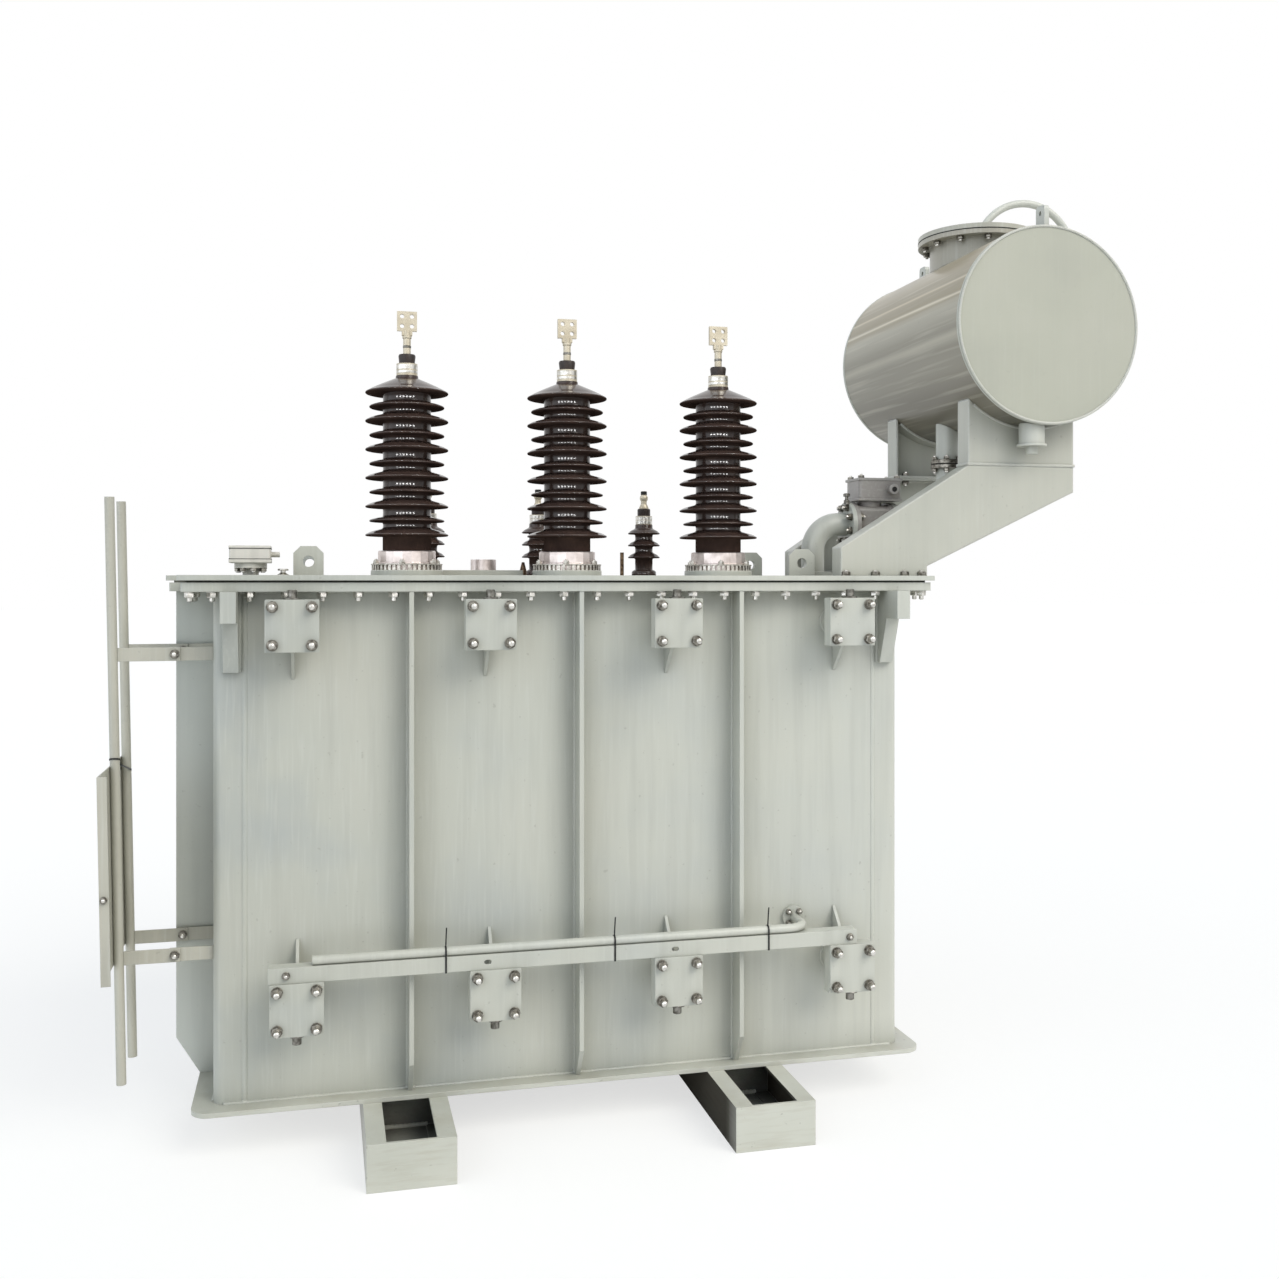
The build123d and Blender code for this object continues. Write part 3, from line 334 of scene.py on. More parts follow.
def spans(name, axis, gap, within=None):  # stretches a node takes up along one axis, in a slice if given
    flat = np.zeros(len(nodes[name].data.vertices) * 3)
    nodes[name].data.vertices.foreach_get("co", flat)
    points = flat.reshape(-1, 3)
    if within:
        points = points[(points[:, within[0]] >= within[1]) & (points[:, within[0]] <= within[2])]
    values = np.unique(np.round(points[:, axis], 5))
    cut = np.nonzero(np.diff(values) > gap)[0]
    return np.stack([np.r_[values[0], values[cut + 1]], np.r_[values[cut], values[-1]]], 1)


def joined(*sets):  # several sets of points and faces as one
    points = [p.reshape(-1, 3) for p, f in sets]
    starts = np.cumsum([0] + [len(p) for p in points])
    return np.concatenate(points), [block + start for (p, f), start in zip(sets, starts) for block in f]


def makePiece(name, sets, material, sharp=30, replaced=()):  # one mesh of all the sets, on the body
    points, faces = joined(*sets)
    mesh = bpy.data.meshes.new(name)
    mesh.from_pydata(points.tolist(), [], [face for block in faces for face in block.tolist()])
    mesh.materials.append(material)
    mesh.shade_smooth()
    mesh.set_sharp_from_angle(angle=math.radians(sharp))
    piece = bpy.data.objects.new(name, mesh)
    bpy.context.scene.collection.objects.link(piece)
    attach(piece, "root")
    if replaced:
        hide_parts(*replaced)
    return piece


def gridFaces(copies, rows, columns, ring=False):  # quads of closed rows, then two caps, or a closed ring
    row = np.arange(rows if ring else rows - 1)[:, None]
    column = np.arange(columns)[None, :]
    nextRow, nextColumn = (row + 1) % rows, (column + 1) % columns
    quad = np.stack([row * columns + column, row * columns + nextColumn, nextRow * columns + nextColumn,
                     nextRow * columns + column], -1).reshape(-1, 4)
    start = (np.arange(copies) * rows * columns)[:, None]
    quads = (quad[None] + start[..., None]).reshape(-1, 4)
    if ring:
        return [quads]
    return [quads, np.arange(columns)[::-1] + start, (rows - 1) * columns + np.arange(columns) + start]


def unit(v):
    return v / np.linalg.norm(v, axis=-1, keepdims=True)


# Turned pieces: a profile of radius and height spun about an axis at each place
# point = place + r cos t * side + r sin t * other + h * axis, with sides = 6 for a hexagon
def turnedPoints(profile, sides, places, axis, spin=0.0):
    places = np.asarray(places, float).reshape(-1, 3)
    axis = unit(np.broadcast_to(np.asarray(axis, float), places.shape))
    helper = np.where(np.abs(axis[:, 2:3]) > 0.9, [[1.0, 0, 0]], [[0, 0, 1.0]])
    side = unit(np.cross(axis, helper))
    other = np.cross(axis, side)
    angle = spin + np.arange(sides) * 2 * np.pi / sides
    radius, height = np.asarray(profile, float).T
    around = np.cos(angle)[:, None] * side[:, None, None] + np.sin(angle)[:, None] * other[:, None, None]
    points = places[:, None, None] + radius[:, None, None] * around
    return points + height[:, None, None] * axis[:, None, None]


def turned(profile, sides, places, axis=up, spin=0.0):  # profile in millimetres, as points and faces
    points = turnedPoints(np.array(profile) * mm, sides, places, axis, spin)
    return points, gridFaces(len(points), len(profile), sides)


def circle(count, radius, start=0.0):  # places round a level circle, in metres
    angle = (np.arange(count) + start) * 2 * np.pi / count
    return np.stack([np.cos(angle), np.sin(angle), 0 * angle], 1) * radius * mm


# A bolt end: washer, hexagon nut with chamfered corners, and the domed end of the stud, along the axis
def boltSets(places, axis, size, spin=0.0):
    flat, washer, stud = size["nut"] / math.sqrt(3), size["washer"] / 2, size["stud"] / 2
    thick, nut = size["washerThick"], size["nutThick"]
    top = thick + nut
    end = top + size["standOut"]
    ring = [(washer * 0.98, 0), (washer, thick * 0.3), (washer, thick * 0.8), (washer * 0.96, thick)]
    hexagon = [(flat * 0.96, thick), (flat, thick + 0.12 * nut), (flat, top - 0.14 * nut), (flat * 0.88, top)]
    shank = [(stud, top - 1), (stud, end - 0.35 * stud), (stud * 0.8, end - 0.12 * stud), (stud * 0.4, end)]
    return [turned(ring, 12, places, axis), turned(hexagon, 6, places, axis, spin),
            turned(shank, 8, places, axis)]


def makeBolts(name, *groups, nutMetal=dullZinc):  # washers and nuts, with their stud ends in bright plate
    sets = [boltSets(*group) for group in groups]
    nuts = joined(*[part for group in sets for part in group[:2]])
    studs = joined(*[group[2] for group in sets])
    piece = makePiece(name, [nuts, studs], nutMetal, 35)
    piece.data.materials.append(zincPlate)
    counts = [sum(map(len, faces)) for points, faces in (nuts, studs)]
    piece.data.polygons.foreach_set("material_index", np.repeat([0, 1], counts))


# Sizes of the fasteners, in millimetres
coverBolt = {"nut": 27, "nutThick": 14, "washer": 32, "washerThick": 3, "stud": 16, "standOut": 13,
             "perPanel": 5, "edge": 24, "endEdges": 2.2, "pocketClear": 110}
coverHead = {"nut": 27, "nutThick": 11, "washer": 32, "washerThick": 3, "stud": 15, "standOut": 6}
plateBolt = {"nut": 28, "nutThick": 14, "washer": 34, "washerThick": 4, "stud": 18, "standOut": 20,
             "pitch": 110}
smallBolt = {"nut": 19, "nutThick": 8, "washer": 24, "washerThick": 2, "stud": 10, "standOut": 5}


# Bolts through rim and cover: nuts and stud ends under the rim, at half pitches either side of the ribs
def makeCoverBolts(size):
    rimLow, rimHigh = corner("rim_front")
    backHigh = corner("rim_back")[1]
    pocketLow, pocketHigh = corner("end_pocket")
    ribs = spans("front_ribs", 0, 0.05).mean(1)
    pitch = (ribs[1] - ribs[0]) / size["perPanel"]
    edge, clear = size["edge"] * mm, size["pocketClear"] * mm
    left, right = rimLow[0] + edge, rimHigh[0] - edge
    front, back = rimLow[1] + edge, backHigh[1] - edge
    steps = (np.arange(-40, 40) + 0.5) * pitch
    along = ribs[1] + steps
    along = along[(along > left) & (along < right)]
    across = steps[np.abs(steps) < backHigh[1] - size["endEdges"] * edge]
    outside = across[(across < pocketLow[1] - clear) | (across > pocketHigh[1] + clear)]
    corners = np.array([[x, y] for x in (left, right) for y in (front, back)])
    flat = np.concatenate([np.stack([along, 0 * along + front], 1), np.stack([along, 0 * along + back], 1),
                           np.stack([0 * across + right, across], 1),
                           np.stack([0 * outside + left, outside], 1), corners])
    makeBolts("coverNuts", (np.c_[flat, 0 * flat[:, 0] + rimLow[2]], down, size, 0.3), nutMetal=zincPlate)
    armLow = corner("arm_near")[0]
    heads = flat[(flat[:, 0] > armLow[0]) & (flat[:, 1] < armLow[1])]
    makeBolts("armFootBolts", (np.c_[heads, 0 * heads[:, 0] + corner("cover")[1][2]], up, coverHead, 0.1))
    print("cover bolts:", len(flat))


makeCoverBolts(coverBolt)
plateRows = spans("blank_plates", 2, 0.2)


def plateMiddles(row):  # middles of the blank plates in the lower row (0) or the upper row (1), along X
    return spans("blank_plates", 0, 0.2, (2, *plateRows[row])).mean(1)


# Four stud ends with nuts on each blank plate, front and back
def makePlateBolts(size):
    half = size["pitch"] / 2 * mm
    depth = spans("blank_plates", 1, 0.05)
    groups = []
    for row in (0, 1):
        grid = np.meshgrid(plateMiddles(row), (-half, half), (-half, half), indexing="ij")
        x, dx, dz = [a.ravel() for a in grid]
        for y, way in ((depth[0][0], -1), (depth[-1][1], 1)):
            places = np.stack([x + dx, np.full(len(x), y), plateRows[row].mean() + dz], 1)
            groups.append((places, (0, way, 0), size, 0.35))
    makeBolts("plateBolts", *groups)
    print("plate bolts:", sum(len(group[0]) for group in groups))


makePlateBolts(plateBolt)


# Porcelain sheds: underside nearly flat, round lip, upper side a falling cone, both curving into the core
# a shed runs core -> tip under it, half a circle round the lip, then back along h = rise * s ** bend;
# the fillet adds its height times the 14th power of the nearness to the core
def shedProfile(core, tip, lip, rise, drop, bend, fillet, inner=None, top=None):
    inner = core if inner is None else inner
    top = rise if top is None else top
    s = np.linspace(0, 1, 9) ** 2
    underR = core + s * (tip - lip - core)
    underH = -lip - drop * (1 - s) ** 2 - fillet * (1 - s) ** 14
    turn = np.linspace(-np.pi / 2, np.pi / 2, 7)[1:-1]
    lipR = tip - lip + lip * np.cos(turn)
    lipH = lip * np.sin(turn)
    s = 1 - np.linspace(1, 0, 12) ** 2
    overR = tip - lip + s * (inner - tip + lip)
    overH = lip + (top - lip) * s ** bend + fillet * s ** 14
    return np.stack([np.r_[underR, lipR, overR], np.r_[underH, lipH, overH]], 1)


hvPorcelain = {"core": 76, "foot": 3, "largeTip": 130, "smallTip": 117.5, "lip": 3.4, "largeRise": 20,
               "smallRise": 12, "drop": 1, "bend": 0.66, "topBend": 0.88, "topGap": 8, "first": 50,
               "pitch": 45, "sheds": 11, "neck": 36, "fillet": 2.5, "waist": 0.9, "sides": 72}


def makeHvPorcelain(size):
    core, lip, drop, fillet = size["core"], size["lip"], size["drop"], size["fillet"]
    for number in (1, 2, 3):
        node = f"hv_porcelain_{number}"
        height = heightOf(node)
        rows = [np.array([[core - size["foot"], 0.0], [core, size["foot"]]])]
        for index in range(size["sheds"]):
            last = index == size["sheds"] - 1
            kind = "small" if index % 2 else "large"
            rise = size[kind + "Rise"]
            place = size["first"] + index * size["pitch"]
            shape = (size["bend"], fillet)
            if last:
                shape = (size["topBend"], 0, size["neck"], height - place - size["topGap"])
            rows.append(shedProfile(core, size[kind + "Tip"], lip, rise, drop, *shape) + [0, place])
            if not last:  # the core draws in a little between two sheds: core - waist * (1 - u ** 2)
                u = np.linspace(-0.85, 0.85, 9)
                gapLow, gapHigh = place + rise + fillet, place + size["pitch"] - lip - drop - fillet
                waist = core - size["waist"] * (1 - u ** 2)
                rows.append(np.stack([waist, (gapLow + gapHigh) / 2 + u * (gapHigh - gapLow) / 2], 1))
        rows.append(np.array([[size["neck"] - 1, height]]))
        body = turned(np.concatenate(rows), size["sides"], [footOf(node)])
        makePiece(f"hvPorcelain{number}", [body], glaze, 60, [node])


makeHvPorcelain(hvPorcelain)

lvPorcelain = {"flange": 46, "flangeHeight": 22, "core": 33, "tip": 60, "lip": 3, "rise": 18, "drop": 1,
               "bend": 0.62, "first": 72, "pitch": 45, "sheds": 3, "fillet": 4, "sides": 48}


def lvPlaces(name):  # feet of the three pieces of a low-voltage node
    foot = footOf(name)
    return [[x, foot[1], foot[2]] for x in spans(name, 0, 0.05).mean(1)]


def makeLvPorcelain(size):
    height = heightOf("lv_porcelains")
    flange, step, core = size["flange"], size["flangeHeight"], size["core"]
    rows = [np.array([[flange - 2, 0], [flange, 2], [flange, step - 5], [flange - 5, step],
                      [core, step + 4.0]])]
    shed = shedProfile(*[size[key] for key in ("core", "tip", "lip", "rise", "drop", "bend", "fillet")])
    rows += [shed + [0, size["first"] + index * size["pitch"]] for index in range(size["sheds"])]
    rows.append(np.array([[core, height - 2], [core - 2, height]]))
    bodies = turned(np.concatenate(rows), size["sides"], lvPlaces("lv_porcelains"))
    makePiece("lvPorcelains", [bodies], glaze, 60, ["lv_porcelains"])


makeLvPorcelain(lvPorcelain)
print("porcelain made")

# Foot of a high-voltage bushing: painted plinth, ring of narrow clamps under a lip, bare cast collar
hvFoot = {"plinth": 113, "plinthHeight": 17, "collar": 91, "clamps": 44, "clampOut": 110, "clampIn": 98,
          "clampWidth": 8.5, "drum": 101, "clampLow": 17, "clampHigh": 33, "lip": 112, "lipThick": 4,
          "flats": 20, "sides": 72}
clampBolt = {"nut": 17, "nutThick": 8, "washer": 20, "washerThick": 2, "stud": 10, "standOut": 5, "count": 6}


# a clamp is a tapered block: corners at two radii and +-half a width, carried up three levels
def clampSet(middle, size):
    angle = np.arange(size["clamps"]) * 2 * np.pi / size["clamps"]
    outward = np.stack([np.cos(angle), np.sin(angle), 0 * angle], 1)
    along = np.stack([-np.sin(angle), np.cos(angle), 0 * angle], 1)
    half = size["clampWidth"] / 2
    r = np.array([size["clampIn"], size["clampOut"], size["clampOut"], size["clampIn"]])[None]
    a = np.array([-half, -half, half, half])[None] * np.array([1.0, 1.0, 0.8])[:, None]
    z = np.array([size["clampLow"], size["clampHigh"] - 3, size["clampHigh"]])[:, None, None]
    points = middle + (r[None, ..., None] * outward[:, None, None] + a[None, ..., None] * along[:, None, None]
                       + z[None] * np.array([0, 0, 1.0])) * mm
    return points, gridFaces(size["clamps"], 3, 4)


def makeHvFeet(size):
    plinth, rise, collar, lip = size["plinth"], size["plinthHeight"], size["collar"], size["lip"]
    drum, z, lipTop = size["drum"], size["clampHigh"], size["clampHigh"] + size["lipThick"]
    ring = [(plinth - 1, 0), (plinth, 1), (plinth, rise - 2), (plinth - 2, rise)]
    edge = [(collar - 2, z), (lip - 1, z), (lip, z + 1), (lip, lipTop - 1), (lip - 1, lipTop),
            (collar - 2, lipTop)]
    for number in (1, 2, 3):
        node = f"hv_base_{number}"
        middle, top = footOf(node), heightOf(node)
        makePiece(f"hvPlinth{number}", [turned(ring, size["sides"], [middle])], paint, 30, [node])
        body = [(drum, rise), (drum, z), (collar + 2, z + 2), (collar + 2, z + 6), (collar, z + 9),
                (collar, top - 3), (collar - 3, top)]
        makePiece(f"hvCollar{number}", [turned(body, size["flats"], [middle], up, 0.1)], castAluminium,
                  15)
        bolts = middle + circle(clampBolt["count"], (collar + lip + 2) / 2, 0.3) + [0, 0, lipTop * mm]
        makePiece(f"hvClamps{number}", [clampSet(middle, size), turned(edge, size["sides"], [middle]),
                                        *boltSets(bolts, up, clampBolt)], clampMetal, 25)


makeHvFeet(hvFoot)

# Sleeves over the terminal: dark ring, knurled bright cap, dark tapered nut
hvCap = {"capR": 33.4, "capHeight": 38, "ring": 31.4, "ringHeight": 6, "nutLow": 24.2, "nutHigh": 27,
         "nutHeight": 30, "flutes": 30, "sides": 32}


def makeHvCaps(size):
    r, h, low, high = size["capR"], size["capHeight"], size["nutLow"], size["nutHigh"]
    top = h + size["nutHeight"]
    cap = [(r - 2, size["ringHeight"]), (r, 8), (r, h * 0.42), (r - 1.5, h * 0.45), (r - 1.5, h * 0.5),
           (r, h * 0.53), (r, h - 4), (r - 4, h + 0.4)]
    nut = [(low, h + 0.4), (low + 0.5, h + 4), (high, top - 5), (high - 2, top)]
    ring = [(size["ring"], 0.2), (size["ring"], size["ringHeight"] + 0.5)]
    for number in (1, 2, 3):
        middle = [footOf(f"hv_terminal_{number}")]
        makePiece(f"hvCap{number}", [turned(cap, size["flutes"], middle)], zincPlate, 20)
        rings = [turned(profile, size["sides"], middle) for profile in (nut, ring)]
        makePiece(f"hvDarkNut{number}", rings, darkNut)


makeHvCaps(hvCap)
print("bushing feet and caps made")


# A bevelled block: the four corners of a rectangle carried up four levels, drawn in by the bevel at both ends
def blockSet(low, high, bevel=1.5 * mm):
    low, high = np.asarray(low, float), np.asarray(high, float)
    x = np.array([low[0], high[0], high[0], low[0]])
    y = np.array([low[1], low[1], high[1], high[1]])
    inX = np.array([1, -1, -1, 1]) * bevel
    inY = np.array([1, 1, -1, -1]) * bevel
    pull = np.array([1.0, 0, 0, 1.0])[:, None]
    z = np.array([low[2], low[2] + bevel, high[2] - bevel, high[2]])[:, None] + 0 * x
    return np.stack([x + inX * pull, y + inY * pull, z], -1), gridFaces(1, 4, 4)


# Small parts of the high-voltage terminal: tab under the palm, bright and dark bands on the stud
hvStud = {"tabWidth": 33, "tabDepth": 15, "tabHeight": 15, "stud": 12.4, "bandLow": 22, "bandHigh": 30,
          "collarLow": 52, "collarHeight": 9.5, "collarR": 14.5, "palm": 62, "studLength": 76, "sides": 24}


def makeHvStuds(size):
    half = np.array([size["tabWidth"] / 2, size["tabDepth"] / 2, 0]) * mm
    r, low, high = size["collarR"], size["collarLow"], size["collarLow"] + size["collarHeight"]
    collar = [(r - 1.5, low), (r, low + 1.5), (r, high - 1.5), (r - 1.5, high)]
    r, low, high = size["stud"], size["bandLow"], size["bandHigh"]
    band = [(r, low), (r + 0.6, low + 1), (r + 0.6, high - 1), (r, high)]
    for number in (1, 2, 3):
        node = f"hv_terminal_{number}"
        middle = footOf(node) + [0, 0, (heightOf(node) - size["palm"]) * mm]
        tab = blockSet(middle - half - [0, 0, size["tabHeight"] * mm], middle + half + [0, 0, 2 * mm])
        foot = [middle - [0, 0, size["studLength"] * mm]]
        makePiece(f"hvPalmTab{number}", [tab, turned(collar, size["sides"], foot)], tinPlate)
        makePiece(f"hvStudBand{number}", [turned(band, size["sides"], foot)], bareSteel)


makeHvStuds(hvStud)

# Low-voltage terminal: bright cap, dark nut, pale cone, ball and black tip, each spun round the stud
lvTop = {"capR": 31.6, "cap": 31, "flutes": 30, "nutR": 24.2, "nut": 28, "coneLow": 18, "coneHigh": 12,
         "cone": 17, "ballR": 15.5, "ballAt": 40, "tipR": 11.8, "tipLow": 53, "stud": 66, "sides": 24}


def makeLvTops(size):
    places, sides = lvPlaces("lv_terminals"), size["sides"]
    r, h = size["capR"], size["cap"]
    cap = [(r - 2, 0.3), (r, 2), (r, h * 0.45), (r - 1.2, h * 0.5), (r, h * 0.55), (r, h - 3),
           (r - 3, h + 0.3)]
    makePiece("lvCaps", [turned(cap, size["flutes"], places)], zincPlate, 20)
    r, top = size["nutR"], h + size["nut"]
    nut = [(r - 1, h + 0.3), (r, h + 3), (r, top - 3), (r - 3, top + 0.3)]
    makePiece("lvDarkNuts", [turned(nut, sides, places)], darkNut)
    t = np.linspace(-1.1, 1.1, 9)
    ball = np.stack([size["ballR"] * np.cos(t), top + size["ballAt"] + size["ballR"] * np.sin(t)], 1)
    cone = [(size["coneLow"], top), (size["coneLow"], top + 4), (size["coneHigh"], top + size["cone"])]
    makePiece("lvBalls", [turned(ball, sides, places), turned(cone, sides, places)], tinPlate, 40)
    r, end = size["tipR"], top + size["stud"]
    tip = [(r, top + size["tipLow"]), (r, end - 1), (r - 1.5, end + 0.3)]
    makePiece("lvTips", [turned(tip, sides, places)], blackNylon)


makeLvTops(lvTop)

# Bare spindles of the radiator valves, each with a gland ring at its root
spindle = {"radius": 13.4, "height": 28.4, "gland": 24, "glandHeight": 5, "inset": 12, "sides": 24}


def makeSpindles(size):
    low, high = corner("radiator_valves")
    r, g, foot, end = (size[key] for key in ("radius", "gland", "glandHeight", "height"))
    inset = size["inset"] * mm
    profile = [(g - 1, -0.5), (g, 1), (g, foot - 1), (g - 2, foot), (r, foot + 0.5), (r, end - 2),
               (r - 2, end)]
    sets = []
    for row, z, way in ((0, plateRows[0][0], down), (1, plateRows[1][1], up)):
        x, y = [a.ravel() for a in np.meshgrid(plateMiddles(row), (low[1] + inset, high[1] - inset))]
        sets.append(turned(profile, size["sides"], np.stack([x, y, 0 * x + z], 1), way))
    makePiece("valveSpindles", sets, bareSteel)


makeSpindles(spindle)

# Relief valve: lid and base of its box with dark joints, and bolts under the round flange
relief = {"lid": 8, "base": 11, "proud": 0.9, "joint": 1.6, "jointBevel": 0.1, "boxHeight": 52, "gland": 26,
          "neck": 22, "bolts": 8, "circle": 40}
reliefBolt = {"nut": 16, "nutThick": 8, "washer": 19, "washerThick": 2, "stud": 10, "standOut": 4}


def makeRelief(size):
    low, high = corner("relief_valve")
    top, foot = high[2], high[2] - size["boxHeight"] * mm
    proud, joint, bevel = size["proud"] * mm, size["joint"] * mm, size["jointBevel"] * mm
    right = high[0] - size["gland"] * mm  # the gland stands out beyond the box
    lid, base = top - size["lid"] * mm, foot + size["base"] * mm

    def layer(start, end, *rest):  # a slab of the box's plan between two heights
        return blockSet([low[0] - proud, low[1] - proud, start], [right + proud, high[1] + proud, end], *rest)

    lids = [layer(lid, top + 0.5 * mm), layer(foot - 0.3 * mm, base)]
    makePiece("reliefLid", lids, reliefPaint)
    joints = [layer(lid - joint, lid, bevel), layer(base, base + joint, bevel)]
    makePiece("reliefJoints", joints, rubber)
    middle = np.array([(low[0] + right) / 2, (low[1] + high[1]) / 2, low[2] + size["neck"] * mm])
    places = middle + circle(size["bolts"], size["circle"], size["bolts"] / 8 / np.pi)
    makeBolts("reliefBolts", (places, down, reliefBolt))


makeRelief(relief)

# Vent plug in bright plate, spun over the one on the cover: flared foot, slim stem, thin cap
ventPlug = {"foot": 18, "stem": 7.8, "stemHeight": 15, "cap": 16.4, "capHeight": 5.3, "inset": 16,
            "sides": 24}


def makeVentPlug(size):
    low = corner("cover_plugs")[0]
    place = [spans("cover_plugs", 0, 0.05)[0].mean(), low[1] + size["inset"] * mm, low[2]]
    foot, stem, rise, cap, thick = (size[key] for key in ("foot", "stem", "stemHeight", "cap", "capHeight"))
    profile = [(foot, 0), (foot, 2), (stem, 9), (stem, rise - 0.4), (cap - 1, rise - 0.4), (cap, rise + 1),
               (cap, rise + 3), (cap - 2, rise + thick)]
    makePiece("ventPlug", [turned(profile, size["sides"], [place])], zincPlate)


makeVentPlug(ventPlug)

# Gas relay: bolts on both pairs of flanges, lid and feet of the head, sight port and drain cock
relayKit = {"axis": 78.5, "bolts": 8, "circle": 62, "flange": 15, "lid": 9, "proud": 2.5, "headHeight": 80,
            "headLeft": 14, "headLength": 160, "headHalf": 58, "screwInset": 12, "port": 17.4, "portOut": 26,
            "portShare": 0.75, "glass": 8, "cock": 10, "cockPlace": (-22, -30, 70), "sides": 24}
relayBolt = {"nut": 22, "nutThick": 11, "washer": 27, "washerThick": 2.5, "stud": 13, "standOut": 8}


def makeRelayKit(size):
    riserEnd, pipeStart = corner("relay_riser")[1][0], corner("relay_pipe")[0][0]
    relayLow, relayHigh = corner("gas_relay")
    top = relayHigh[2]
    middle = np.array([0, spans("relay_pipe", 1, 5.0)[0].mean(), relayLow[2] + size["axis"] * mm])
    ring = middle + circle(size["bolts"], size["circle"], 0.5)[:, [2, 0, 1]]
    groups = []
    for x in (riserEnd, pipeStart):
        groups += [(ring + [x + way * size["flange"] * mm, 0, 0], (way, 0, 0), relayBolt) for way in (-1, 1)]
    half, proud = size["headHalf"] * mm, size["proud"] * mm
    left = riserEnd + size["headLeft"] * mm
    right = left + size["headLength"] * mm
    front, back = middle[1] - half, middle[1] + half
    lidFoot = top - size["lid"] * mm
    drop = (size["headHeight"] - size["lid"]) * mm
    lids = [blockSet([left - proud, front - proud, lidFoot - fall], [right + proud, back + proud, end - fall])
            for fall, end in ((0, top + 0.8 * mm), (drop, top))]
    makePiece("relayHeadLids", lids, castPaint)
    r, glass = size["port"], size["port"] - size["glass"]
    port = [[left + size["portShare"] * size["headLength"] * mm, front - size["portOut"] * mm,
             top - size["headHeight"] / 2 * mm]]  # on the knob that stands out of the head's front
    rim = [(r, -1.5), (r + 1, 0), (r + 1, 2), (r - 1, 4)]
    makePiece("relayPortRim", [turned(rim, size["sides"], port, (0, -1, 0))], castPaint)
    # painted shade: a black disc fills the sight port, standing in for the dark inside
    pane = [(glass, 0.5), (glass, 4.3), (glass - 1, 4.6)]
    makePiece("relayPort", [turned(pane, size["sides"], port, (0, -1, 0))], blackNylon)
    inset = size["screwInset"] * mm
    x, y = [a.ravel() for a in np.meshgrid((left + inset, right - inset), (front + inset, back - inset))]
    groups.append((np.stack([x, y, 0 * x + top], 1), up, smallBolt))
    makeBolts("relayBolts", *groups)
    r = size["cock"]
    cock = [(r, 0), (r, 14), (r * 0.6, 16), (r * 0.6, 26), (r * 1.2, 27), (r * 1.2, 36), (r * 0.8, 38)]
    place = middle + [riserEnd, 0, 0] + np.array(size["cockPlace"]) * mm
    makePiece("relayCock", [turned(cock, 12, [place])], bareSteel)


makeRelayKit(relayKit)

# Union in the pipe under the conservator: two flanges spun round the pipe, dark joint, bolts
pipeUnion = {"pipe": 40, "flange": 58, "thick": 14, "joint": 3, "height": 2112, "bolts": 6, "circle": 49,
             "sides": 40}
unionBolt = {"nut": 17, "nutThick": 9, "washer": 20, "washerThick": 2, "stud": 10, "standOut": 6}


def makePipeUnion(size):
    middle = np.array([corner("relay_pipe")[1][0] - size["pipe"] * mm, spans("relay_pipe", 1, 5.0)[0].mean(),
                       size["height"] * mm])
    r, gap = size["flange"], size["joint"] / 2
    end = gap + size["thick"]
    disc = [(r - 1.5, gap), (r, gap + 1.5), (r, end - 1.5), (r - 1.5, end)]
    makePiece("pipeUnion", [turned(disc, size["sides"], [middle], way) for way in (down, up)], dullZinc)
    joint = [(r - 2, -gap), (r - 2, gap)]
    makePiece("pipeUnionJoint", [turned(joint, size["sides"], [middle])], rubber)
    places = middle + circle(size["bolts"], size["circle"])
    groups = [(places + [0, 0, way * end * mm], (0, 0, way), unionBolt) for way in (-1, 1)]
    makeBolts("pipeUnionBolts", *groups)


makePipeUnion(pipeUnion)

# Weld beads: an ellipse carried along a straight run, its height rippled along the run
# point = start + s * run + across * w cos t + out * h * swell * sin t,
# with swell = 1 + ripple sin(2 pi s / pitch) + wander sin(61 s)
weld = {"pitch": 13, "ripple": 0.22, "wander": 0.12, "sides": 8, "step": 4.5, "inset": 30, "diaphragm": 56,
        "diaphragmFoot": 9, "skidWall": 50}
bead = {"seam": (16, 2.2), "rib": (12, 5), "hook": (13, 6), "foot": (13, 6), "rim": (11, 5),
        "pocket": (12, 5), "skid": (16, 7)}  # width and height of each run


def weldSet(start, end, out, kind):
    start, end, out = (np.asarray(v, float) for v in (start, end, out))
    width, height = bead[kind]
    length = np.linalg.norm(end - start)
    along = (end - start) / length
    out = unit(out - along * (out @ along))
    across = np.cross(out, along)
    count = max(3, int(length / (weld["step"] * mm)))
    s = np.linspace(0, length, count)
    t = np.arange(weld["sides"]) * 2 * np.pi / weld["sides"]
    ripple = weld["ripple"] * np.sin(2 * np.pi * s / (weld["pitch"] * mm))
    swell = 1 + ripple + weld["wander"] * np.sin(s * 61.0)
    points = (start + s[:, None, None] * along + across * (width / 2 * mm * np.cos(t))[None, :, None]
              + out * (height * mm * swell[:, None] * np.sin(t)[None])[..., None])
    return points, gridFaces(1, count, weld["sides"])


